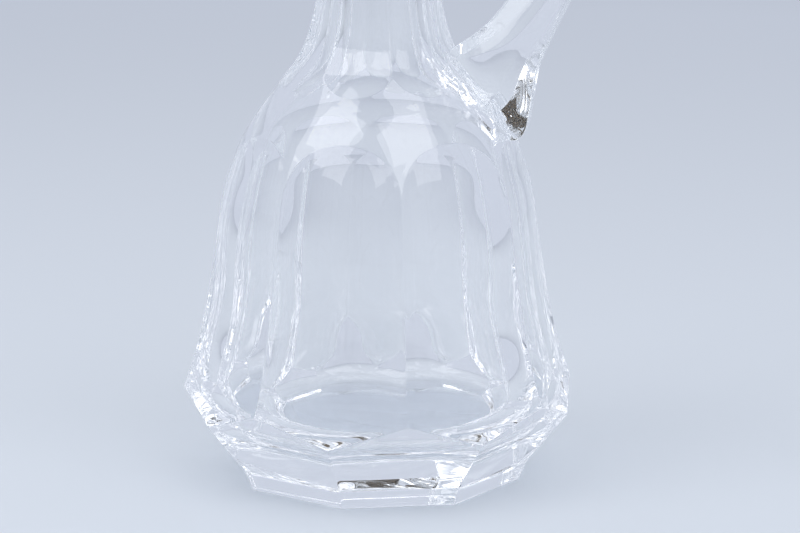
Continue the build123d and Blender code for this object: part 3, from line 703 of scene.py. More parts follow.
class Graph:
    """A material's node tree, with short ways to add and join its nodes."""

    def __init__(self, name: str) -> None:
        """Starts an empty material.

        Args:
            name: the material's name.
        """
        self.material = bpy.data.materials.new(name)
        self.material.use_nodes = True
        self.tree = self.material.node_tree
        self.tree.nodes.clear()
        self.output = self.add("ShaderNodeOutputMaterial")
        self.place = self.add("ShaderNodeTexCoord")

    def add(self, kind: str, **values: object) -> bpy.types.Node:
        """Adds a node and sets its sockets.

        Args:
            kind: the node's type.
            values: a value for each named socket, with spaces written as underscores.

        Returns:
            The node.
        """
        node = self.tree.nodes.new(kind)
        for name, value in values.items():
            node.inputs[name.replace("_", " ")].default_value = value
        return node

    def join(self, source: bpy.types.NodeSocket, target: bpy.types.NodeSocket) -> None:
        """Joins two sockets."""
        self.tree.links.new(source, target)

    def noise(
        self, scale: float, detail: float, roughness: float, stretch: tuple[float, ...] | None = None
    ) -> bpy.types.NodeSocket:
        """Adds a noise that reads the piece's own coordinates.

        Args:
            scale: the noise's scale.
            detail: how many finer layers it has.
            roughness: how strong the finer layers are.
            stretch: scale along each axis, or None for all alike.

        Returns:
            The noise's value.
        """
        pattern = self.add("ShaderNodeTexNoise", Scale=scale, Detail=detail, Roughness=roughness)
        source = self.place.outputs["Object"]
        if stretch is not None:
            drawn = self.add("ShaderNodeMapping", Scale=stretch)
            self.join(source, drawn.inputs["Vector"])
            source = drawn.outputs["Vector"]
        self.join(source, pattern.inputs["Vector"])
        return pattern.outputs["Fac"]

    def spread(self, value: bpy.types.NodeSocket, before: Point, after: Point) -> bpy.types.NodeSocket:
        """Maps one range of values onto another.

        Args:
            value: the value.
            before: the range that is read.
            after: the range that it becomes.

        Returns:
            The mapped value.
        """
        step = self.add(
            "ShaderNodeMapRange", From_Min=before[0], From_Max=before[1], To_Min=after[0], To_Max=after[1]
        )
        self.join(value, step.inputs["Value"])
        return step.outputs["Result"]

    def blend(
        self, share: bpy.types.NodeSocket, first: Colour | bpy.types.NodeSocket, second: Colour
    ) -> bpy.types.NodeSocket:
        """Mixes two colours.

        Args:
            share: the second colour's share.
            first: the first colour, or the socket that gives it.
            second: the second colour.

        Returns:
            The mixed colour.
        """
        mix = self.add("ShaderNodeMix")
        mix.data_type = "RGBA"
        if isinstance(first, bpy.types.NodeSocket):
            self.join(first, mix.inputs["A"])
        else:
            mix.inputs["A"].default_value = (*first, 1)
        mix.inputs["B"].default_value = (*second, 1)
        self.join(share, mix.inputs["Factor"])
        return mix.outputs["Result"]

    def cells(self, scale: float, stretch: tuple[float, ...] = (1.0, 1.0, 1.0)) -> bpy.types.NodeSocket:
        """Adds a scatter of cells that reads the piece's own coordinates.

        Args:
            scale: the pattern's scale.
            stretch: scale along each axis.

        Returns:
            The distance to the nearest cell's middle.
        """
        pattern = self.add("ShaderNodeTexVoronoi", Scale=scale, Randomness=1.0)
        drawn = self.add("ShaderNodeMapping", Scale=stretch)
        self.join(self.place.outputs["Object"], drawn.inputs["Vector"])
        self.join(drawn.outputs["Vector"], pattern.inputs["Vector"])
        return pattern.outputs["Distance"]

    def surface(
        self,
        colour: bpy.types.NodeSocket,
        roughness: bpy.types.NodeSocket,
        normal: bpy.types.NodeSocket,
        **values: float,
    ) -> None:
        """Ends the material in one surface.

        Args:
            colour: its colour.
            roughness: its roughness.
            normal: its normal.
            values: a value for each other named socket.
        """
        body = self.add("ShaderNodeBsdfPrincipled", **values)
        self.join(colour, body.inputs["Base Color"])
        self.join(roughness, body.inputs["Roughness"])
        self.join(normal, body.inputs["Normal"])
        self.join(body.outputs["BSDF"], self.output.inputs["Surface"])

    def mix(
        self, share: bpy.types.NodeSocket, first: bpy.types.NodeSocket, second: bpy.types.NodeSocket
    ) -> bpy.types.NodeSocket:
        """Mixes two surfaces.

        Args:
            share: the second surface's share.
            first: the first surface.
            second: the second surface.

        Returns:
            The mixed surface.
        """
        step = self.add("ShaderNodeMixShader")
        self.join(share, step.inputs["Fac"])
        self.join(first, step.inputs[1])
        self.join(second, step.inputs[2])
        return step.outputs["Shader"]

    def bump(
        self,
        height: bpy.types.NodeSocket,
        distance: float,
        strength: float,
        under: bpy.types.NodeSocket | None = None,
    ) -> bpy.types.NodeSocket:
        """Raises a pattern a little from the surface.

        Args:
            height: the pattern.
            distance: its height, in metres; below zero it is sunk.
            strength: how strongly it shows.
            under: the normal that it is laid over, or None for the plain surface.

        Returns:
            The normal.
        """
        step = self.add("ShaderNodeBump", Strength=strength, Distance=abs(distance))
        step.invert = distance < 0
        self.join(height, step.inputs["Height"])
        if under is not None:
            self.join(under, step.inputs["Normal"])
        return step.outputs["Normal"]



class Finish:
    """A named material, made once and shared by the pieces that it dresses."""

    name: str = "finish"
    made: ClassVar[dict[str, bpy.types.Material]] = {}

    def shade(self, graph: Graph) -> None:
        """Fills the graph; each finish does this in its own way."""
        raise NotImplementedError

    def dress(self, piece: bpy.types.Object) -> None:
        """Gives the piece this finish."""
        if self.name not in self.made:
            graph = Graph(self.name)
            self.shade(graph)
            self.made[self.name] = graph.material
        piece.data.materials.clear()
        piece.data.materials.append(self.made[self.name])


@dataclass(frozen=True)
class Crystal(Finish):
    """Clear lead crystal, with the faint waves of fire polishing."""

    name: str = "lead_crystal"
    tint: Colour = (0.996, 0.998, 1.0)
    ior: float = 1.53
    shadow: Colour = (0.78, 0.79, 0.80)
    wave_scale: float = 90.0
    wave_height: float = 0.004 * MM
    trapped_after: float = 20.5

    def shade(self, graph: Graph) -> None:
        """Clear glass that lets lamp light through to what it stands on."""
        glass = graph.add(
            "ShaderNodeBsdfPrincipled",
            Base_Color=(*self.tint, 1),
            Roughness=0.0,
            IOR=self.ior,
            Transmission_Weight=1.0,
        )
        waves = graph.noise(self.wave_scale, detail=1.0, roughness=0.4)
        graph.join(graph.bump(waves, self.wave_height, 0.5), glass.inputs["Normal"])
        rays = graph.add("ShaderNodeLightPath")
        trapped = graph.add("ShaderNodeMath")
        trapped.operation = "GREATER_THAN"
        trapped.inputs[1].default_value = self.trapped_after
        graph.join(rays.outputs["Ray Depth"], trapped.inputs[0])
        free = graph.add("ShaderNodeBsdfTransparent")
        lit = graph.mix(trapped.outputs["Value"], glass.outputs["BSDF"], free.outputs["BSDF"])
        clear = graph.add("ShaderNodeBsdfTransparent", Color=(*self.shadow, 1))
        seen = graph.mix(rays.outputs["Is Shadow Ray"], lit, clear.outputs["BSDF"])
        graph.join(seen, graph.output.inputs["Surface"])


@dataclass(frozen=True)
class SilverPlate(Finish):
    """Silver plate, kept bright by hand: fine rubbing marks, soft smears and a little tarnish."""

    name: str = "rubbed_silver_plate"
    bright: Colour = linear(226, 223, 216)
    tarnish: Colour = linear(196, 184, 160)
    dark: Colour = linear(88, 80, 70)
    smooth: Point = (0.07, 0.2)
    hair_height: float = 0.0016 * MM
    wave_height: float = 0.012 * MM

    def shade(self, graph: Graph) -> None:
        """Bright metal with uneven polish."""
        patches = graph.spread(graph.noise(75.0, detail=5.0, roughness=0.6), (0.48, 0.78), (0.0, 0.55))
        hollow = graph.add("ShaderNodeAttribute")
        hollow.attribute_name = HOLLOW
        settled = graph.spread(hollow.outputs["Fac"], (0.06, 0.6), (0.0, 0.85))
        colour = graph.blend(settled, graph.blend(patches, self.bright, self.tarnish), self.dark)
        smears = graph.noise(160.0, detail=6.0, roughness=0.65)
        hairs = graph.noise(420.0, detail=2.0, roughness=0.5, stretch=(1.0, 1.0, 14.0))
        waves = graph.bump(graph.noise(210.0, detail=1.0, roughness=0.4), self.wave_height, 0.35)
        normal = graph.bump(hairs, self.hair_height, 0.5, waves)
        graph.surface(colour, graph.spread(smears, (0.3, 0.75), self.smooth), normal, Metallic=1.0)


@dataclass(frozen=True)
class DrawnSteel(Finish):
    """Drawn steel wire, its lines along the pin, dulled a little between them."""

    name: str = "drawn_steel"
    bright: Colour = linear(178, 178, 181)
    dull: Colour = linear(132, 128, 123)
    line_height: float = 0.004 * MM

    def shade(self, graph: Graph) -> None:
        """Lined metal."""
        lines = graph.noise(900.0, detail=3.0, roughness=0.6, stretch=(1.0, 0.03, 1.0))
        spots = graph.spread(graph.noise(500.0, detail=4.0, roughness=0.6), (0.45, 0.75), (0.0, 0.7))
        colour = graph.blend(spots, self.bright, self.dull)
        normal = graph.bump(lines, self.line_height, 0.7)
        graph.surface(colour, graph.spread(lines, (0.3, 0.7), (0.2, 0.4)), normal, Metallic=1.0)


@dataclass(frozen=True)
class TurnedBrass(Finish):
    """Turned brass with fine rings from the lathe, gone brown in places."""

    name: str = "turned_brass"
    bright: Colour = linear(212, 178, 108)
    brown: Colour = linear(150, 112, 62)
    ring_height: float = 0.006 * MM

    def shade(self, graph: Graph) -> None:
        """Ringed metal."""
        rings = graph.add("ShaderNodeTexWave", Scale=900.0, Distortion=0.6, Detail=2.0)
        rings.wave_type = "RINGS"
        rings.rings_direction = "Z"
        graph.join(graph.place.outputs["Object"], rings.inputs["Vector"])
        patches = graph.spread(graph.noise(280.0, detail=5.0, roughness=0.65), (0.42, 0.72), (0.0, 0.85))
        colour = graph.blend(patches, self.bright, self.brown)
        normal = graph.bump(rings.outputs["Fac"], self.ring_height, 0.5)
        graph.surface(colour, graph.spread(patches, (0.0, 0.85), (0.2, 0.42)), normal, Metallic=1.0)


@dataclass(frozen=True)
class CutCork(Finish):
    """Cut cork: warm and mottled, with dark pores and short streaks."""

    name: str = "cut_cork"
    pale: Colour = linear(226, 199, 160)
    dark: Colour = linear(198, 163, 118)
    pore: Colour = linear(112, 78, 50)
    grain_height: float = 0.06 * MM

    def shade(self, graph: Graph) -> None:
        """Mottled, porous and dull."""
        mottle = graph.noise(420.0, detail=6.0, roughness=0.7)
        holes = graph.spread(graph.cells(520.0, stretch=(1.0, 0.4, 1.0)), (0.12, 0.26), (1.0, 0.0))
        shade = graph.blend(graph.spread(mottle, (0.35, 0.65), (0.0, 1.0)), self.pale, self.dark)
        colour = graph.blend(holes, shade, self.pore)
        sunk = graph.bump(holes, -self.grain_height, 0.8)
        normal = graph.bump(mottle, self.grain_height * 0.5, 0.8, sunk)
        rough = graph.spread(mottle, (0.3, 0.7), (0.72, 0.92))
        graph.surface(colour, rough, normal, Specular_IOR_Level=0.25)


@dataclass(frozen=True)
class Plaster(Finish):
    """Fine plaster, off-white and grainy, with a few pin holes."""

    name: str = "grainy_plaster"
    clean: Colour = linear(228, 223, 209)
    stained: Colour = linear(199, 188, 165)
    grain_height: float = 0.03 * MM

    def shade(self, graph: Graph) -> None:
        """Chalky and dull."""
        stain = graph.spread(graph.noise(190.0, detail=5.0, roughness=0.6), (0.45, 0.75), (0.0, 0.8))
        grain = graph.noise(2600.0, detail=3.0, roughness=0.7)
        holes = graph.spread(graph.cells(900.0), (0.05, 0.16), (1.0, 0.0))
        colour = graph.blend(stain, self.clean, self.stained)
        sunk = graph.bump(holes, -self.grain_height, 0.7)
        normal = graph.bump(grain, self.grain_height * 0.6, 0.8, sunk)
        rough = graph.spread(grain, (0.3, 0.7), (0.8, 0.97))
        graph.surface(colour, rough, normal, Specular_IOR_Level=0.2)


# Metal mounts and lid


@dataclass(frozen=True)
class DrawnRound:
    """A round outline whose -X side can be drawn out into a spout with a rounded nose."""

    body_r: float
    nose_r: float
    reach: float = 23.0 * MM

    def radius(self, angle: float, share: float, inset: float = 0.0) -> float:
        """Distance from the axis to the outline.

        Args:
            angle: angle from -X, in radians.
            share: how far the spout is drawn out, from 0 to 1.
            inset: how far inside the outline.

        Returns:
            The distance.
        """
        body, away = self.body_r - inset, abs(angle)
        turn = acos((self.body_r - self.nose_r) / self.reach)
        if away >= turn or share == 0.0:
            return body
        nose_x = share * self.reach
        along_cheek = body / cos(turn - away)
        if along_cheek * sin(turn - away) <= nose_x * sin(turn):
            return along_cheek
        nose = self.body_r + share * (self.nose_r - self.body_r) - inset
        return nose_x * cos(away) + sqrt(max(nose**2 - (nose_x * sin(away)) ** 2, 0.0))

    @staticmethod
    def angles() -> list[float]:
        """Angles for the columns round the outline, closer at the nose."""
        half = [*np.linspace(0, 9, 10), *np.linspace(9, 57, 22)[1:], *np.linspace(57, 180, 42)[1:]]
        return [*[radians(a) for a in half], *[-radians(a) for a in half[-2:0:-1]]]


Station = tuple[Callable[[float], float], float]


def ringed(stations: Sequence[Station]) -> bmesh.types.BMesh:
    """Joins rings round the axis into one closed skin, the last back to the first.

    Args:
        stations: for each ring, its radius at an angle from -X, and its height.

    Returns:
        The closed mesh.
    """
    angles = DrawnRound.angles()

    def place(row: int, column: int) -> Vector:
        """Where a vertex goes."""
        reader, z = stations[row % len(stations)]
        radius = reader(angles[column])
        return Vector((-radius * cos(angles[column]), radius * sin(angles[column]), z))

    return wrapped_sheet(len(stations) + 1, len(angles), place)


def circle(radius: float) -> Callable[[float], float]:
    """The reader of a plain round ring."""
    return lambda angle: radius


def lathe_arc(start: Point, end: Point, steps: int) -> list[Point]:
    """An arc that leaves its start straight up and ends nearer to the axis.

    Args:
        start: (radius, height) of its foot.
        end: (radius, height) of its top.
        steps: how many steps.

    Returns:
        Its points, both ends among them.
    """
    inward, rise = start[0] - end[0], end[1] - start[1]
    arc_r = (inward**2 + rise**2) / (2 * inward)
    last = atan2(rise, arc_r - inward)
    turns = [last * i / steps for i in range(steps + 1)]
    return [(start[0] - arc_r * (1 - cos(t)), start[1] + arc_r * sin(t)) for t in turns]


def grooved(line: Sequence[Point], at: Iterable[float], depth: float, half: float) -> list[Point]:
    """Cuts fine grooves into an outline.

    Args:
        line: (radius, height) points.
        at: shares of the outline's length where the grooves lie.
        depth: how deep they are.
        half: half their width.

    Returns:
        The outline with its grooves.
    """
    points = np.array(line, float)
    lengths = np.concatenate(([0.0], np.cumsum(np.linalg.norm(np.diff(points, axis=0), axis=1))))
    marks = [(s, 0.0) for s in lengths]
    for share in at:
        middle = share * lengths[-1]
        marks = [m for m in marks if abs(m[0] - middle) > 1.6 * half]
        for part, cut in ((-1.0, 0.0), (-0.5, depth), (0.5, depth), (1.0, 0.0)):
            marks.append((middle + part * half, cut))
    result: list[Point] = []
    for spot, cut in sorted(marks):
        here = [float(np.interp(spot, lengths, points[:, axis])) for axis in (0, 1)]
        ahead = [float(np.interp(spot + half, lengths, points[:, axis])) for axis in (0, 1)]
        behind = [float(np.interp(spot - half, lengths, points[:, axis])) for axis in (0, 1)]
        run = Vector((ahead[0] - behind[0], ahead[1] - behind[1])).normalized()
        result.append((here[0] - run.y * cut, here[1] + run.x * cut))
    return result


def eased_copy(node: str, name: str, width: float, over: float = 28.0) -> bpy.types.Object:
    """Copies a CAD node's mesh, merges its triangles and rounds its edges.

    Args:
        node: the CAD node.
        name: the new piece's name.
        width: width of the rounding.
        over: smallest turn, in degrees, of an edge that is rounded.

    Returns:
        The new piece.
    """
    mesh = bmesh.new()
    mesh.from_mesh(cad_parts[node].data)
    clean(mesh, 0.001 * MM)
    bmesh.ops.dissolve_limit(mesh, angle_limit=radians(0.6), verts=mesh.verts, edges=mesh.edges)
    soften(mesh, width, over, segments=3)
    clean(mesh, 0.001 * MM)
    return new_piece(name, mesh, sharp=32.0)


def finished(piece: bpy.types.Object, body: Body, node: str, slot: Slot, look: Finish) -> bpy.types.Object:
    """Dresses a piece that stands for a CAD node, and lets it ride on its body.

    Args:
        piece: the piece.
        body: the body that it moves with.
        node: the CAD node that it stands for.
        slot: the record's material slot; not used.
        look: its finish.

    Returns:
        The same piece.
    """
    look.dress(piece)
    mark_hollows(piece)
    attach(piece, body.value)
    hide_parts(node)
    log.info("%s: %d faces", piece.name, len(piece.data.polygons))
    return piece


@dataclass(frozen=True)
class NeckMount:
    """The silver-plated collar with its spout, ring, bracket and pin, and the plaster under it."""

    foot: float = 158.5 * MM
    rim: float = 183.6 * MM
    bore_r: float = 15.8 * MM
    wall: float = 1.0 * MM
    spout_foot: float = 168.0 * MM
    nose_r: float = 3.0 * MM
    line_heights: tuple[float, ...] = (164.2 * MM, 164.9 * MM)
    line_depth: float = 0.14 * MM
    ring_height: float = 3.6 * MM
    reeds: int = 3
    reed_depth: float = 1.4 * MM
    rope_turns: int = 60
    rope_depth: float = 0.22 * MM
    seat_r: float = 15.0 * MM
    setback: float = 1.0 * MM
    film: float = 0.02 * MM
    hinge: Point = (21.4 * MM, 185.0 * MM)
    hinge_half: float = 6.4 * MM
    pin_r: float = 0.9 * MM
    pin_head_r: float = 1.5 * MM
    pin_head: float = 0.5 * MM

    def _collar(self) -> bmesh.types.BMesh:
        """The sleeve, round below and drawn out into the spout above."""
        outline = DrawnRound(self.bore_r + self.wall, self.nose_r)
        rise = self.rim - self.spout_foot
        edge = self.wall / 2

        def station(z: float, inset: float) -> Station:
            """A ring of the sleeve at a height."""
            share = (max(z - self.spout_foot, 0.0) / rise) ** 2
            return (lambda angle: outline.radius(angle, share, inset)), z

        low = [self.foot + 0.2 * MM, self.foot + self.ring_height + 0.6 * MM]
        lines: list[Station] = []
        for z in self.line_heights:
            for shift, cut in ((-0.18, 0.0), (-0.08, 1.0), (0.08, 1.0), (0.18, 0.0)):
                lines.append(station(z + shift * MM, cut * self.line_depth))
        outer = [station(z, 0.0) for z in np.linspace(self.spout_foot, self.rim - edge, 26)]
        turns = [i / 8 * pi for i in range(1, 8)]
        lip = [station(self.rim - edge + edge * sin(t), edge - edge * cos(t)) for t in turns]
        inner = [station(z, self.wall) for z in np.linspace(self.rim - edge, self.spout_foot, 26)]
        base = [station(self.foot, self.wall), station(self.foot, 0.2 * MM)]
        return ringed([*[station(z, 0.0) for z in low], *lines, *outer, *lip, *inner, *base])

    def _ring(self) -> bmesh.types.BMesh:
        """The moulding ring: plain reeds with a rope-twisted one between them."""
        pitch = self.ring_height / self.reeds
        inner = self.bore_r + self.wall - self.film
        start_r = self.bore_r + self.wall + self.reed_depth / 2
        outline: list[Point] = [(inner, self.foot)]
        for reed in range(self.reeds):
            middle = self.foot + (reed + 0.5) * pitch
            for step in range(13):
                turn = -pi / 2 + step / 12 * pi
                outline.append((start_r + self.reed_depth / 2 * cos(turn), middle + pitch / 2 * sin(turn)))
        outline += [(inner, self.foot + self.ring_height), (inner, self.foot)]
        mesh = turned(outline, steps=360)
        for vert in mesh.verts:
            spread = (vert.co.z - self.foot) / pitch - self.reeds / 2
            radius = vert.co.xy.length
            if abs(spread) < 0.5 and radius > start_r:
                angle = atan2(vert.co.y, vert.co.x)
                strand = abs(sin(self.rope_turns * angle / 2 + spread * 1.9))
                cut = self.rope_depth * (1 - strand) * cos(spread * pi)
                vert.co.xy *= (radius - cut) / radius
        return mesh

    def _plaster(self) -> bmesh.types.BMesh:
        """The plaster bed, its lower edge wiped hollow with a finger."""
        inner, outer = self.seat_r + self.film, self.bore_r - self.film
        low, high = self.foot + self.setback, self.spout_foot
        wiped = [(inner + (outer - inner) * t, low + 0.25 * MM * sin(pi * t)) for t in np.linspace(0, 1, 9)]
        outline = [*wiped, *[(outer, z) for z in np.linspace(low, high, 20)[1:]], (inner, high)]
        mesh = turned([*outline, wiped[0]], steps=160)
        for vert in mesh.verts:
            if vert.co.z < low + 0.3 * MM and inner + self.film < vert.co.xy.length < outer - self.film:
                angle = atan2(vert.co.y, vert.co.x)
                vert.co.z += 0.06 * MM * (sin(9 * angle) + 0.6 * sin(23 * angle + 1.3))
        return mesh

    def _pin(self) -> bmesh.types.BMesh:
        """The hinge pin, turned upright and then laid across; its ends are peened to domes."""
        half, head = self.hinge_half, self.pin_head
        turns = np.linspace(0, pi / 2, 8)[:-1]
        dome = [(self.pin_head_r * cos(t), half + head * (0.35 + 0.65 * sin(t))) for t in turns]
        top = [(self.pin_r, half), (self.pin_head_r, half), *dome, (0.0, half + head)]
        outline = [*[(r, -z) for (r, z) in reversed(top)], *top]
        mesh = turned(outline, steps=48)
        bmesh.ops.rotate(mesh, verts=mesh.verts, cent=(0, 0, 0), matrix=Matrix.Rotation(pi / 2, 3, "X"))
        bmesh.ops.translate(mesh, verts=mesh.verts, vec=(self.hinge[0], 0, self.hinge[1]))
        return mesh

    def build(self) -> None:
        """Builds and dresses the mount."""
        silver, plaster, steel = SilverPlate(), Plaster(), DrawnSteel()
        parts = (
            (new_piece("collar_sleeve", self._collar()), "neck_collar", Slot.SILVER, silver),
            (new_piece("moulding_ring", self._ring(), sharp=50.0), "collar_ring", Slot.SILVER, silver),
            (eased_copy("hinge_bracket", "bracket", 0.14 * MM), "hinge_bracket", Slot.SILVER, silver),
            (new_piece("plaster_bed", self._plaster(), sharp=40.0), "collar_cement", Slot.CEMENT, plaster),
            (new_piece("pin", self._pin()), "hinge_pin", Slot.STEEL, steel),
        )
        for piece, node, slot, look in parts:
            finished(piece, Body.DECANTER, node, slot, look)


@dataclass(frozen=True)
class Lid:
    """The hinged lid: flange and dome, bezel, strap, thumb piece, cork with its washer and nut, knob."""

    flange: float = 183.8 * MM
    flange_top: float = 185.0 * MM
    flange_r: float = 18.1 * MM
    nose_r: float = 4.3 * MM
    flange_round: float = 0.4 * MM
    border: float = 1.0 * MM
    dome_r: float = 14.6 * MM
    dome_step: float = 1.4 * MM
    dome_top: float = 194.5 * MM
    crown_r: float = 5.6 * MM
    dome_wall: float = 1.0 * MM
    dome_lines: tuple[float, ...] = (0.10, 0.17, 0.86)
    line_depth: float = 0.13 * MM
    stud_bore_r: float = 1.6 * MM
    bezel_r: float = 15.2 * MM
    bezel_wall: float = 0.8 * MM
    bezel_depth: float = 2.6 * MM
    cork_r: float = 14.2 * MM
    cork_foot: float = 180.3 * MM
    cork_chamfer: float = 0.6 * MM
    ledge: float = 1.4 * MM
    washer_r: float = 4.6 * MM
    washer_foot: float = 179.7 * MM
    nut_foot: float = 177.5 * MM
    nut_flats: float = 5.5 * MM
    stud_r: float = 1.5 * MM
    stud_foot: float = 176.7 * MM
    thread_pitch: float = 0.5 * MM
    thread_depth: float = 0.18 * MM
    knob_foot_r: float = 4.6 * MM
    lobes: int = 16
    lobe_depth: float = 0.075

    def _shell(self) -> bmesh.types.BMesh:
        """The flange, the stepped dome with its turned lines, and the hollow inside."""
        outline = DrawnRound(self.flange_r, self.nose_r)
        step_z = self.flange_top + self.dome_step
        shoulder = (self.dome_r - self.dome_step, step_z)
        dome = grooved(
            lathe_arc(shoulder, (self.crown_r, self.dome_top), 30), self.dome_lines, self.line_depth, 0.2 * MM
        )
        small = 0.18 * MM

        def rim(inset: float, z: float) -> Station:
            """A ring that follows the flange's edge."""
            return (lambda angle: outline.radius(angle, 1.0, inset)), z

        def between(share: float, z: float) -> Station:
            """A ring part of the way from the dome's foot to the flange's border."""
            border = self.border + small
            return (
                lambda angle: (1 - share) * self.dome_r + share * outline.radius(angle, 1.0, border)
            ), z

        top = [(circle(self.stud_bore_r), self.dome_top), *[(circle(r), z) for (r, z) in reversed(dome)]]
        step = [
            (circle(self.dome_r - small), step_z),
            (circle(self.dome_r - small * 0.3), step_z - small * 0.3),
            (circle(self.dome_r), step_z - small),
            (circle(self.dome_r), self.flange_top + small),
        ]
        plate = [between(share, self.flange_top) for share in (0.02, 0.15, 0.4, 0.7, 1.0)]
        line = [
            rim(self.border + small / 2, self.flange_top - self.line_depth),
            rim(self.border - small / 2, self.flange_top - self.line_depth),
            rim(self.border - small, self.flange_top),
        ]
        turns = [i / 6 * pi / 2 for i in range(7)]
        edge_z = self.flange_top - self.flange_round
        edge = [rim(self.flange_round * (1 - sin(t)), edge_z + self.flange_round * cos(t)) for t in turns]
        under = [rim(0.0, self.flange + small), rim(small, self.flange)]
        ledge_r = self.cork_r - self.ledge
        hollow = lathe_arc((ledge_r, step_z), (self.crown_r, self.dome_top - self.dome_wall), 16)
        inside = [(circle(ledge_r), self.flange), *[(circle(r), z) for (r, z) in hollow]]
        close = [(circle(self.stud_bore_r), self.dome_top - self.dome_wall)]
        return ringed([*top, *step, *plate, *line, *edge, *under, *inside, *close])

    def _bezel(self) -> bmesh.types.BMesh:
        """The ring that centres the lid, its lower edge eased."""
        inner, outer = self.bezel_r - self.bezel_wall, self.bezel_r
        low, high, ease = self.flange - self.bezel_depth, self.flange, 0.18 * MM
        return turned(
            [
                (inner, high),
                (inner, low + ease),
                (inner + ease, low),
                (outer - 2 * ease, low),
                (outer - 0.6 * ease, low + 0.4 * ease),
                (outer, low + 2 * ease),
                (outer, high),
                (inner, high),
            ],
            steps=144,
        )

    def _cork(self) -> bmesh.types.BMesh:
        """The cork disc, chamfered below, a little swollen and dented as cut cork is."""
        low, high, chamfer = self.cork_foot, self.flange, self.cork_chamfer
        radii = np.linspace(self.stud_bore_r, self.cork_r - chamfer, 26)
        under = [(float(r), low) for r in radii]
        side = [(self.cork_r, z) for z in np.linspace(low + chamfer, high, 10)]
        outline = [*under, *side, (self.stud_bore_r, high), (self.stud_bore_r, low)]
        mesh = turned(outline, steps=144)
        for vert in mesh.verts:
            x, y, z = vert.co / MM
            coarse = sin(2.1 * x + 0.7 * y) * sin(1.7 * y - 0.4 * x + 0.5)
            grain = coarse + 0.5 * sin(4.7 * x) * sin(5.3 * y + z)
            if z < (low + 0.05 * MM) / MM:
                vert.co.z += 0.03 * MM * (1 + max(grain, -1.0))
            elif vert.co.xy.length > self.cork_r - 0.01 * MM and vert.co.z < high - 0.1 * MM:
                vert.co.xy *= 1 - 0.002 * (1 + max(grain, -1.0))
        return mesh

    def _washer(self) -> bmesh.types.BMesh:
        """The washer, rounded where it was stamped."""
        low, high, ease = self.washer_foot, self.cork_foot, 0.14 * MM
        inner, outer = self.stud_bore_r, self.washer_r
        turns = np.linspace(0, pi / 2, 5)
        rounded = [(outer - ease + ease * sin(t), low + ease - ease * cos(t)) for t in turns]
        bore = [(inner, high), (inner, low + ease), (inner + ease, low)]
        outline = [*bore, *rounded, (outer, high), (inner, high)]
        return turned(outline, steps=96)

    def _nut(self) -> bpy.types.Object:
        """The hexagon nut with its corners chamfered on the lathe."""
        high, low = self.washer_foot, self.nut_foot
        corner_r = self.nut_flats / 2 / cos(pi / 6)
        mesh = bmesh.new()
        bmesh.ops.create_circle(mesh, cap_ends=True, segments=6, radius=corner_r)
        bmesh.ops.translate(mesh, verts=mesh.verts, vec=(0, 0, low))
        grown = bmesh.ops.extrude_face_region(mesh, geom=mesh.faces[:])
        risen = [v for v in grown["geom"] if isinstance(v, bmesh.types.BMVert)]
        bmesh.ops.translate(mesh, verts=risen, vec=(0, 0, high - low))
        bmesh.ops.recalc_face_normals(mesh, faces=mesh.faces)
        soften(mesh, 0.06 * MM, over=40.0, segments=2)
        nut = new_piece("nut", mesh)
        flat_r = self.nut_flats / 2
        drop = (corner_r - flat_r) * 0.75
        bore = self.stud_r + 0.03 * MM
        outline = [
            (bore, high),
            (bore, low + 0.25 * MM),
            (bore + 0.25 * MM, low),
            (flat_r * 0.96, low),
            (corner_r + 0.2 * MM, low + drop + 0.15 * MM),
            (corner_r + 0.2 * MM, high - drop - 0.15 * MM),
            (flat_r * 0.96, high),
            (bore, high),
        ]
        combine(nut, new_piece("turned_nut", turned(outline, steps=96)), "INTERSECT")
        return nut

    def _knob(self) -> bmesh.types.BMesh:
        """The knob on its stud: a moulded foot, a gadrooned ball and a small tip."""
        foot, foot_r = self.dome_top, self.knob_foot_r
        cove = SmoothLine(
            [(foot_r, foot + 0.8 * MM), (1.9 * MM, foot + 2.9 * MM), (3.2 * MM, foot + 4.2 * MM)],
            start=(-1.0, 0.2),
            end=(1.0, 0.3),
        )
        ball_foot, ball_top = foot + 4.2 * MM, foot + 13.4 * MM
        ball = SmoothLine(
            [(3.2 * MM, ball_foot), (5.4 * MM, (ball_foot + ball_top) / 2), (1.2 * MM, ball_top)],
            start=(1.0, 0.6),
            end=(-1.0, 0.1),
        )
        tip = [
            (1.2 * MM * cos(t), ball_top + 1.7 * MM * sin(t)) for t in np.linspace(0, pi / 2, 10)[1:-1]
        ]
        thread_top = self.washer_foot
        outline = [
            (0.0, self.stud_foot),
            (self.stud_r - self.thread_depth, self.stud_foot),
            *[(self.stud_r, z) for z in np.linspace(self.stud_foot + 0.1 * MM, thread_top, 56)],
            (self.stud_r, foot),
            (foot_r - 0.15 * MM, foot),
            (foot_r, foot + 0.15 * MM),
            *[tuple(p) for p in cove.along(26)],
            *[tuple(p) for p in ball.along(44)[1:]],
            *tip,
            (0.0, ball_top + 1.7 * MM),
        ]
        mesh = turned(outline, steps=self.lobes * 10)
        for vert in mesh.verts:
            angle, radius = atan2(vert.co.y, vert.co.x), vert.co.xy.length
            if ball_foot < vert.co.z < ball_top:
                up = (vert.co.z - ball_foot) / (ball_top - ball_foot)
                fade = min(1.0, 4 * up, 3.2 * (1 - up))
                cut = self.lobe_depth * fade * (1 - abs(cos(self.lobes * angle / 2)))
                vert.co.xy *= 1 - cut
            elif self.stud_foot < vert.co.z < thread_top and radius > self.stud_r * 0.9:
                phase = ((vert.co.z - self.stud_foot) / self.thread_pitch - angle / tau) % 1.0
                vert.co.xy *= 1 - self.thread_depth / self.stud_r * abs(2 * phase - 1)
        return mesh

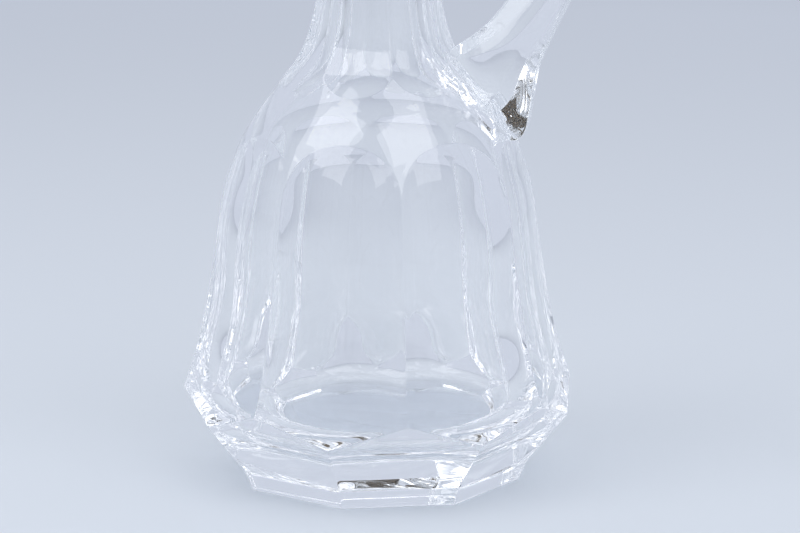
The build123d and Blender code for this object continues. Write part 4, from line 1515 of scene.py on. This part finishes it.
    def build(self) -> None:
        """Builds and dresses the lid."""
        silver, brass, cork = SilverPlate(), TurnedBrass(), CutCork()
        thumb = eased_copy("thumb_piece", "thumb_plate", 0.16 * MM, over=40.0)
        parts = (
            (new_piece("lid_dome", self._shell(), sharp=34.0), "lid_shell", Slot.SILVER, silver),
            (new_piece("bezel", self._bezel(), sharp=50.0), "lid_bezel", Slot.SILVER, silver),
            (eased_copy("lid_strap", "strap", 0.12 * MM), "lid_strap", Slot.SILVER, silver),
            (thumb, "thumb_piece", Slot.SILVER, silver),
            (new_piece("cork_disc", self._cork(), sharp=40.0), "lid_seal", Slot.CORK, cork),
            (new_piece("washer", self._washer()), "seal_washer", Slot.BRASS, brass),
            (new_piece("knob", self._knob(), sharp=50.0), "finial_knob", Slot.SILVER, silver),
            (self._nut(), "finial_nut", Slot.BRASS, brass),
        )
        for piece, node, slot, look in parts:
            finished(piece, Body.LID, node, slot, look)


# Studio


@dataclass(frozen=True)
class Softbox:
    """A square lamp behind a diffuser."""

    name: str
    place: Point | tuple[float, float, float]
    width: float
    height: float
    power: float
    colour: Colour = (1.0, 1.0, 1.0)
    aim: tuple[float, float, float] = (0.0, 0.0, 0.09)

    def build(self) -> None:
        """Hangs the lamp, facing its aim."""
        data = bpy.data.lights.new(self.name, "AREA")
        data.shape = "RECTANGLE"
        data.size = self.width
        data.size_y = self.height
        data.energy = self.power
        data.color = self.colour
        lamp = bpy.data.objects.new(self.name, data)
        lamp.location = self.place
        lamp.rotation_euler = (Vector(self.aim) - Vector(self.place)).to_track_quat("-Z", "Y").to_euler()
        bpy.context.scene.collection.objects.link(lamp)


@dataclass(frozen=True)
class Viewpoint:
    """The photograph's camera, fitted to the corners of the facets."""

    target: tuple[float, float, float] = (0.0, 0.0, 49.5 * MM)
    distance: float = 699.9 * MM
    azimuth: float = radians(14.44)
    elevation: float = radians(11.842)
    lens: float = 112.5
    sensor: float = 36.0
    frame_size: tuple[int, int] = (800, 533)
    target_pixel: Point = (378.98, 299.08)

    def build(self) -> None:
        """Makes the camera and sets it as the scene's."""
        data = bpy.data.cameras.new("camera")
        data.lens = self.lens
        data.sensor_width = self.sensor
        data.clip_start = 0.01
        data.clip_end = 50.0
        focal = self.lens / self.sensor * self.frame_size[0]
        level = Vector((sin(self.azimuth), -cos(self.azimuth), 0))
        away = level * cos(self.elevation) + Vector((0, 0, sin(self.elevation)))
        forward = -away
        right = Vector((cos(self.azimuth), sin(self.azimuth), 0))
        up = right.cross(forward)
        pan = atan2(self.target_pixel[0] - self.frame_size[0] / 2, focal)
        tilt = atan2(self.target_pixel[1] - self.frame_size[1] / 2, focal)
        x_axis = right * cos(pan) + forward * sin(pan)
        ahead = forward * cos(pan) - right * sin(pan)
        y_axis = up * cos(tilt) - ahead * sin(tilt)
        z_axis = -(up * sin(tilt) + ahead * cos(tilt))
        place = Vector(self.target) + away * self.distance
        turn = Matrix((x_axis, y_axis, z_axis)).transposed().to_4x4()
        camera = bpy.data.objects.new("camera", data)
        camera.matrix_world = Matrix.Translation(place) @ turn
        bpy.context.scene.collection.objects.link(camera)
        bpy.context.scene.camera = camera


@dataclass(frozen=True)
class Studio:
    """Pale seamless paper, two softboxes high at the front, and a dim room behind the camera."""

    # painted light and shade: the paper's colour runs from darker at the front to lighter at the back
    paper_near_painted_shade: Colour = linear(213, 220, 230)
    paper_far_painted_light: Colour = linear(227, 234, 247)
    far: float = 1.4
    backdrop: Colour = linear(204, 211, 226)
    fill: Colour = (0.62, 0.63, 0.655)
    room: Colour = linear(120, 127, 142)
    room_width: Point = (-0.98, -0.88)
    floor_half: float = 5.0
    gap: float = 0.15 * MM

    def _floor(self) -> None:
        """Lays the paper, its colour painted a little lighter towards the back: painted light and shade
        standing in for the lamps' uneven fall on it.
        """
        mesh = bmesh.new()
        bmesh.ops.create_grid(mesh, x_segments=1, y_segments=1, size=self.floor_half)
        bmesh.ops.translate(mesh, verts=mesh.verts, vec=(0, 0, -self.gap))
        floor = new_piece("paper", mesh)
        graph = Graph("paper")
        apart = graph.add("ShaderNodeSeparateXYZ")
        surface = graph.add("ShaderNodeBsdfDiffuse")
        graph.join(graph.place.outputs["Object"], apart.inputs["Vector"])
        # painted light: the colour ramp by depth paints the lamps' fall-off onto the paper
        depth = graph.spread(apart.outputs["Y"], (0.0, self.far), (0.0, 1.0))
        graph.join(graph.blend(depth, self.paper_near_painted_shade, self.paper_far_painted_light), surface.inputs["Color"])
        graph.join(surface.outputs["BSDF"], graph.output.inputs["Surface"])
        floor.data.materials.append(graph.material)

    def _world(self) -> None:
        """Sets the light of the room: an even fill, and a pale backdrop with a dim spot behind the camera."""
        world = bpy.data.worlds.new("room")
        bpy.context.scene.world = world
        world.use_nodes = True
        nodes, links = world.node_tree.nodes, world.node_tree.links
        nodes.clear()
        place = nodes.new("ShaderNodeTexCoord")
        apart = nodes.new("ShaderNodeSeparateXYZ")
        ramp = nodes.new("ShaderNodeMapRange")
        ramp.inputs["From Min"].default_value = self.room_width[0]
        ramp.inputs["From Max"].default_value = self.room_width[1]
        mix = nodes.new("ShaderNodeMix")
        mix.data_type = "RGBA"
        mix.inputs["A"].default_value = (*self.room, 1)
        mix.inputs["B"].default_value = (*self.backdrop, 1)
        seen = nodes.new("ShaderNodeBackground")
        fill = nodes.new("ShaderNodeBackground")
        fill.inputs["Color"].default_value = (*self.fill, 1)
        rays = nodes.new("ShaderNodeLightPath")
        first = nodes.new("ShaderNodeMath")
        first.operation = "MAXIMUM"
        both = nodes.new("ShaderNodeMath")
        both.operation = "MAXIMUM"
        choose = nodes.new("ShaderNodeMixShader")
        out = nodes.new("ShaderNodeOutputWorld")
        links.new(place.outputs["Generated"], apart.inputs["Vector"])
        links.new(apart.outputs["Y"], ramp.inputs["Value"])
        links.new(ramp.outputs["Result"], mix.inputs["Factor"])
        links.new(mix.outputs["Result"], seen.inputs["Color"])
        links.new(rays.outputs["Is Camera Ray"], first.inputs[0])
        links.new(rays.outputs["Is Glossy Ray"], first.inputs[1])
        links.new(first.outputs["Value"], both.inputs[0])
        links.new(rays.outputs["Is Transmission Ray"], both.inputs[1])
        links.new(both.outputs["Value"], choose.inputs["Fac"])
        links.new(fill.outputs["Background"], choose.inputs[1])
        links.new(seen.outputs["Background"], choose.inputs[2])
        links.new(choose.outputs["Shader"], out.inputs["Surface"])

    def build(self) -> None:
        """Sets up paper, room light, lamps and colour."""
        self._floor()
        self._world()
        Softbox("window_left", (-0.60, -0.65, 0.97), 0.9, 0.9, 5.5).build()
        Softbox("window_right", (0.67, -0.58, 0.97), 0.9, 0.9, 4.8).build()
        scene = bpy.context.scene
        scene.view_settings.view_transform = "Standard"
        scene.cycles.max_bounces = 64
        scene.cycles.transmission_bounces = 64
        scene.cycles.glossy_bounces = 64
        scene.cycles.transparent_max_bounces = 64


def main() -> None:
    """Builds the pieces, dresses them and sets up the studio."""
    logging.basicConfig(level=logging.INFO, format="%(message)s")
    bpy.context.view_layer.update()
    Viewpoint().build()
    glass = GlassBody().build()
    log.info("%s: %d faces", glass.name, len(glass.data.polygons))
    NeckMount().build()
    Lid().build()
    Studio().build()


if __name__ == "__main__":
    main()
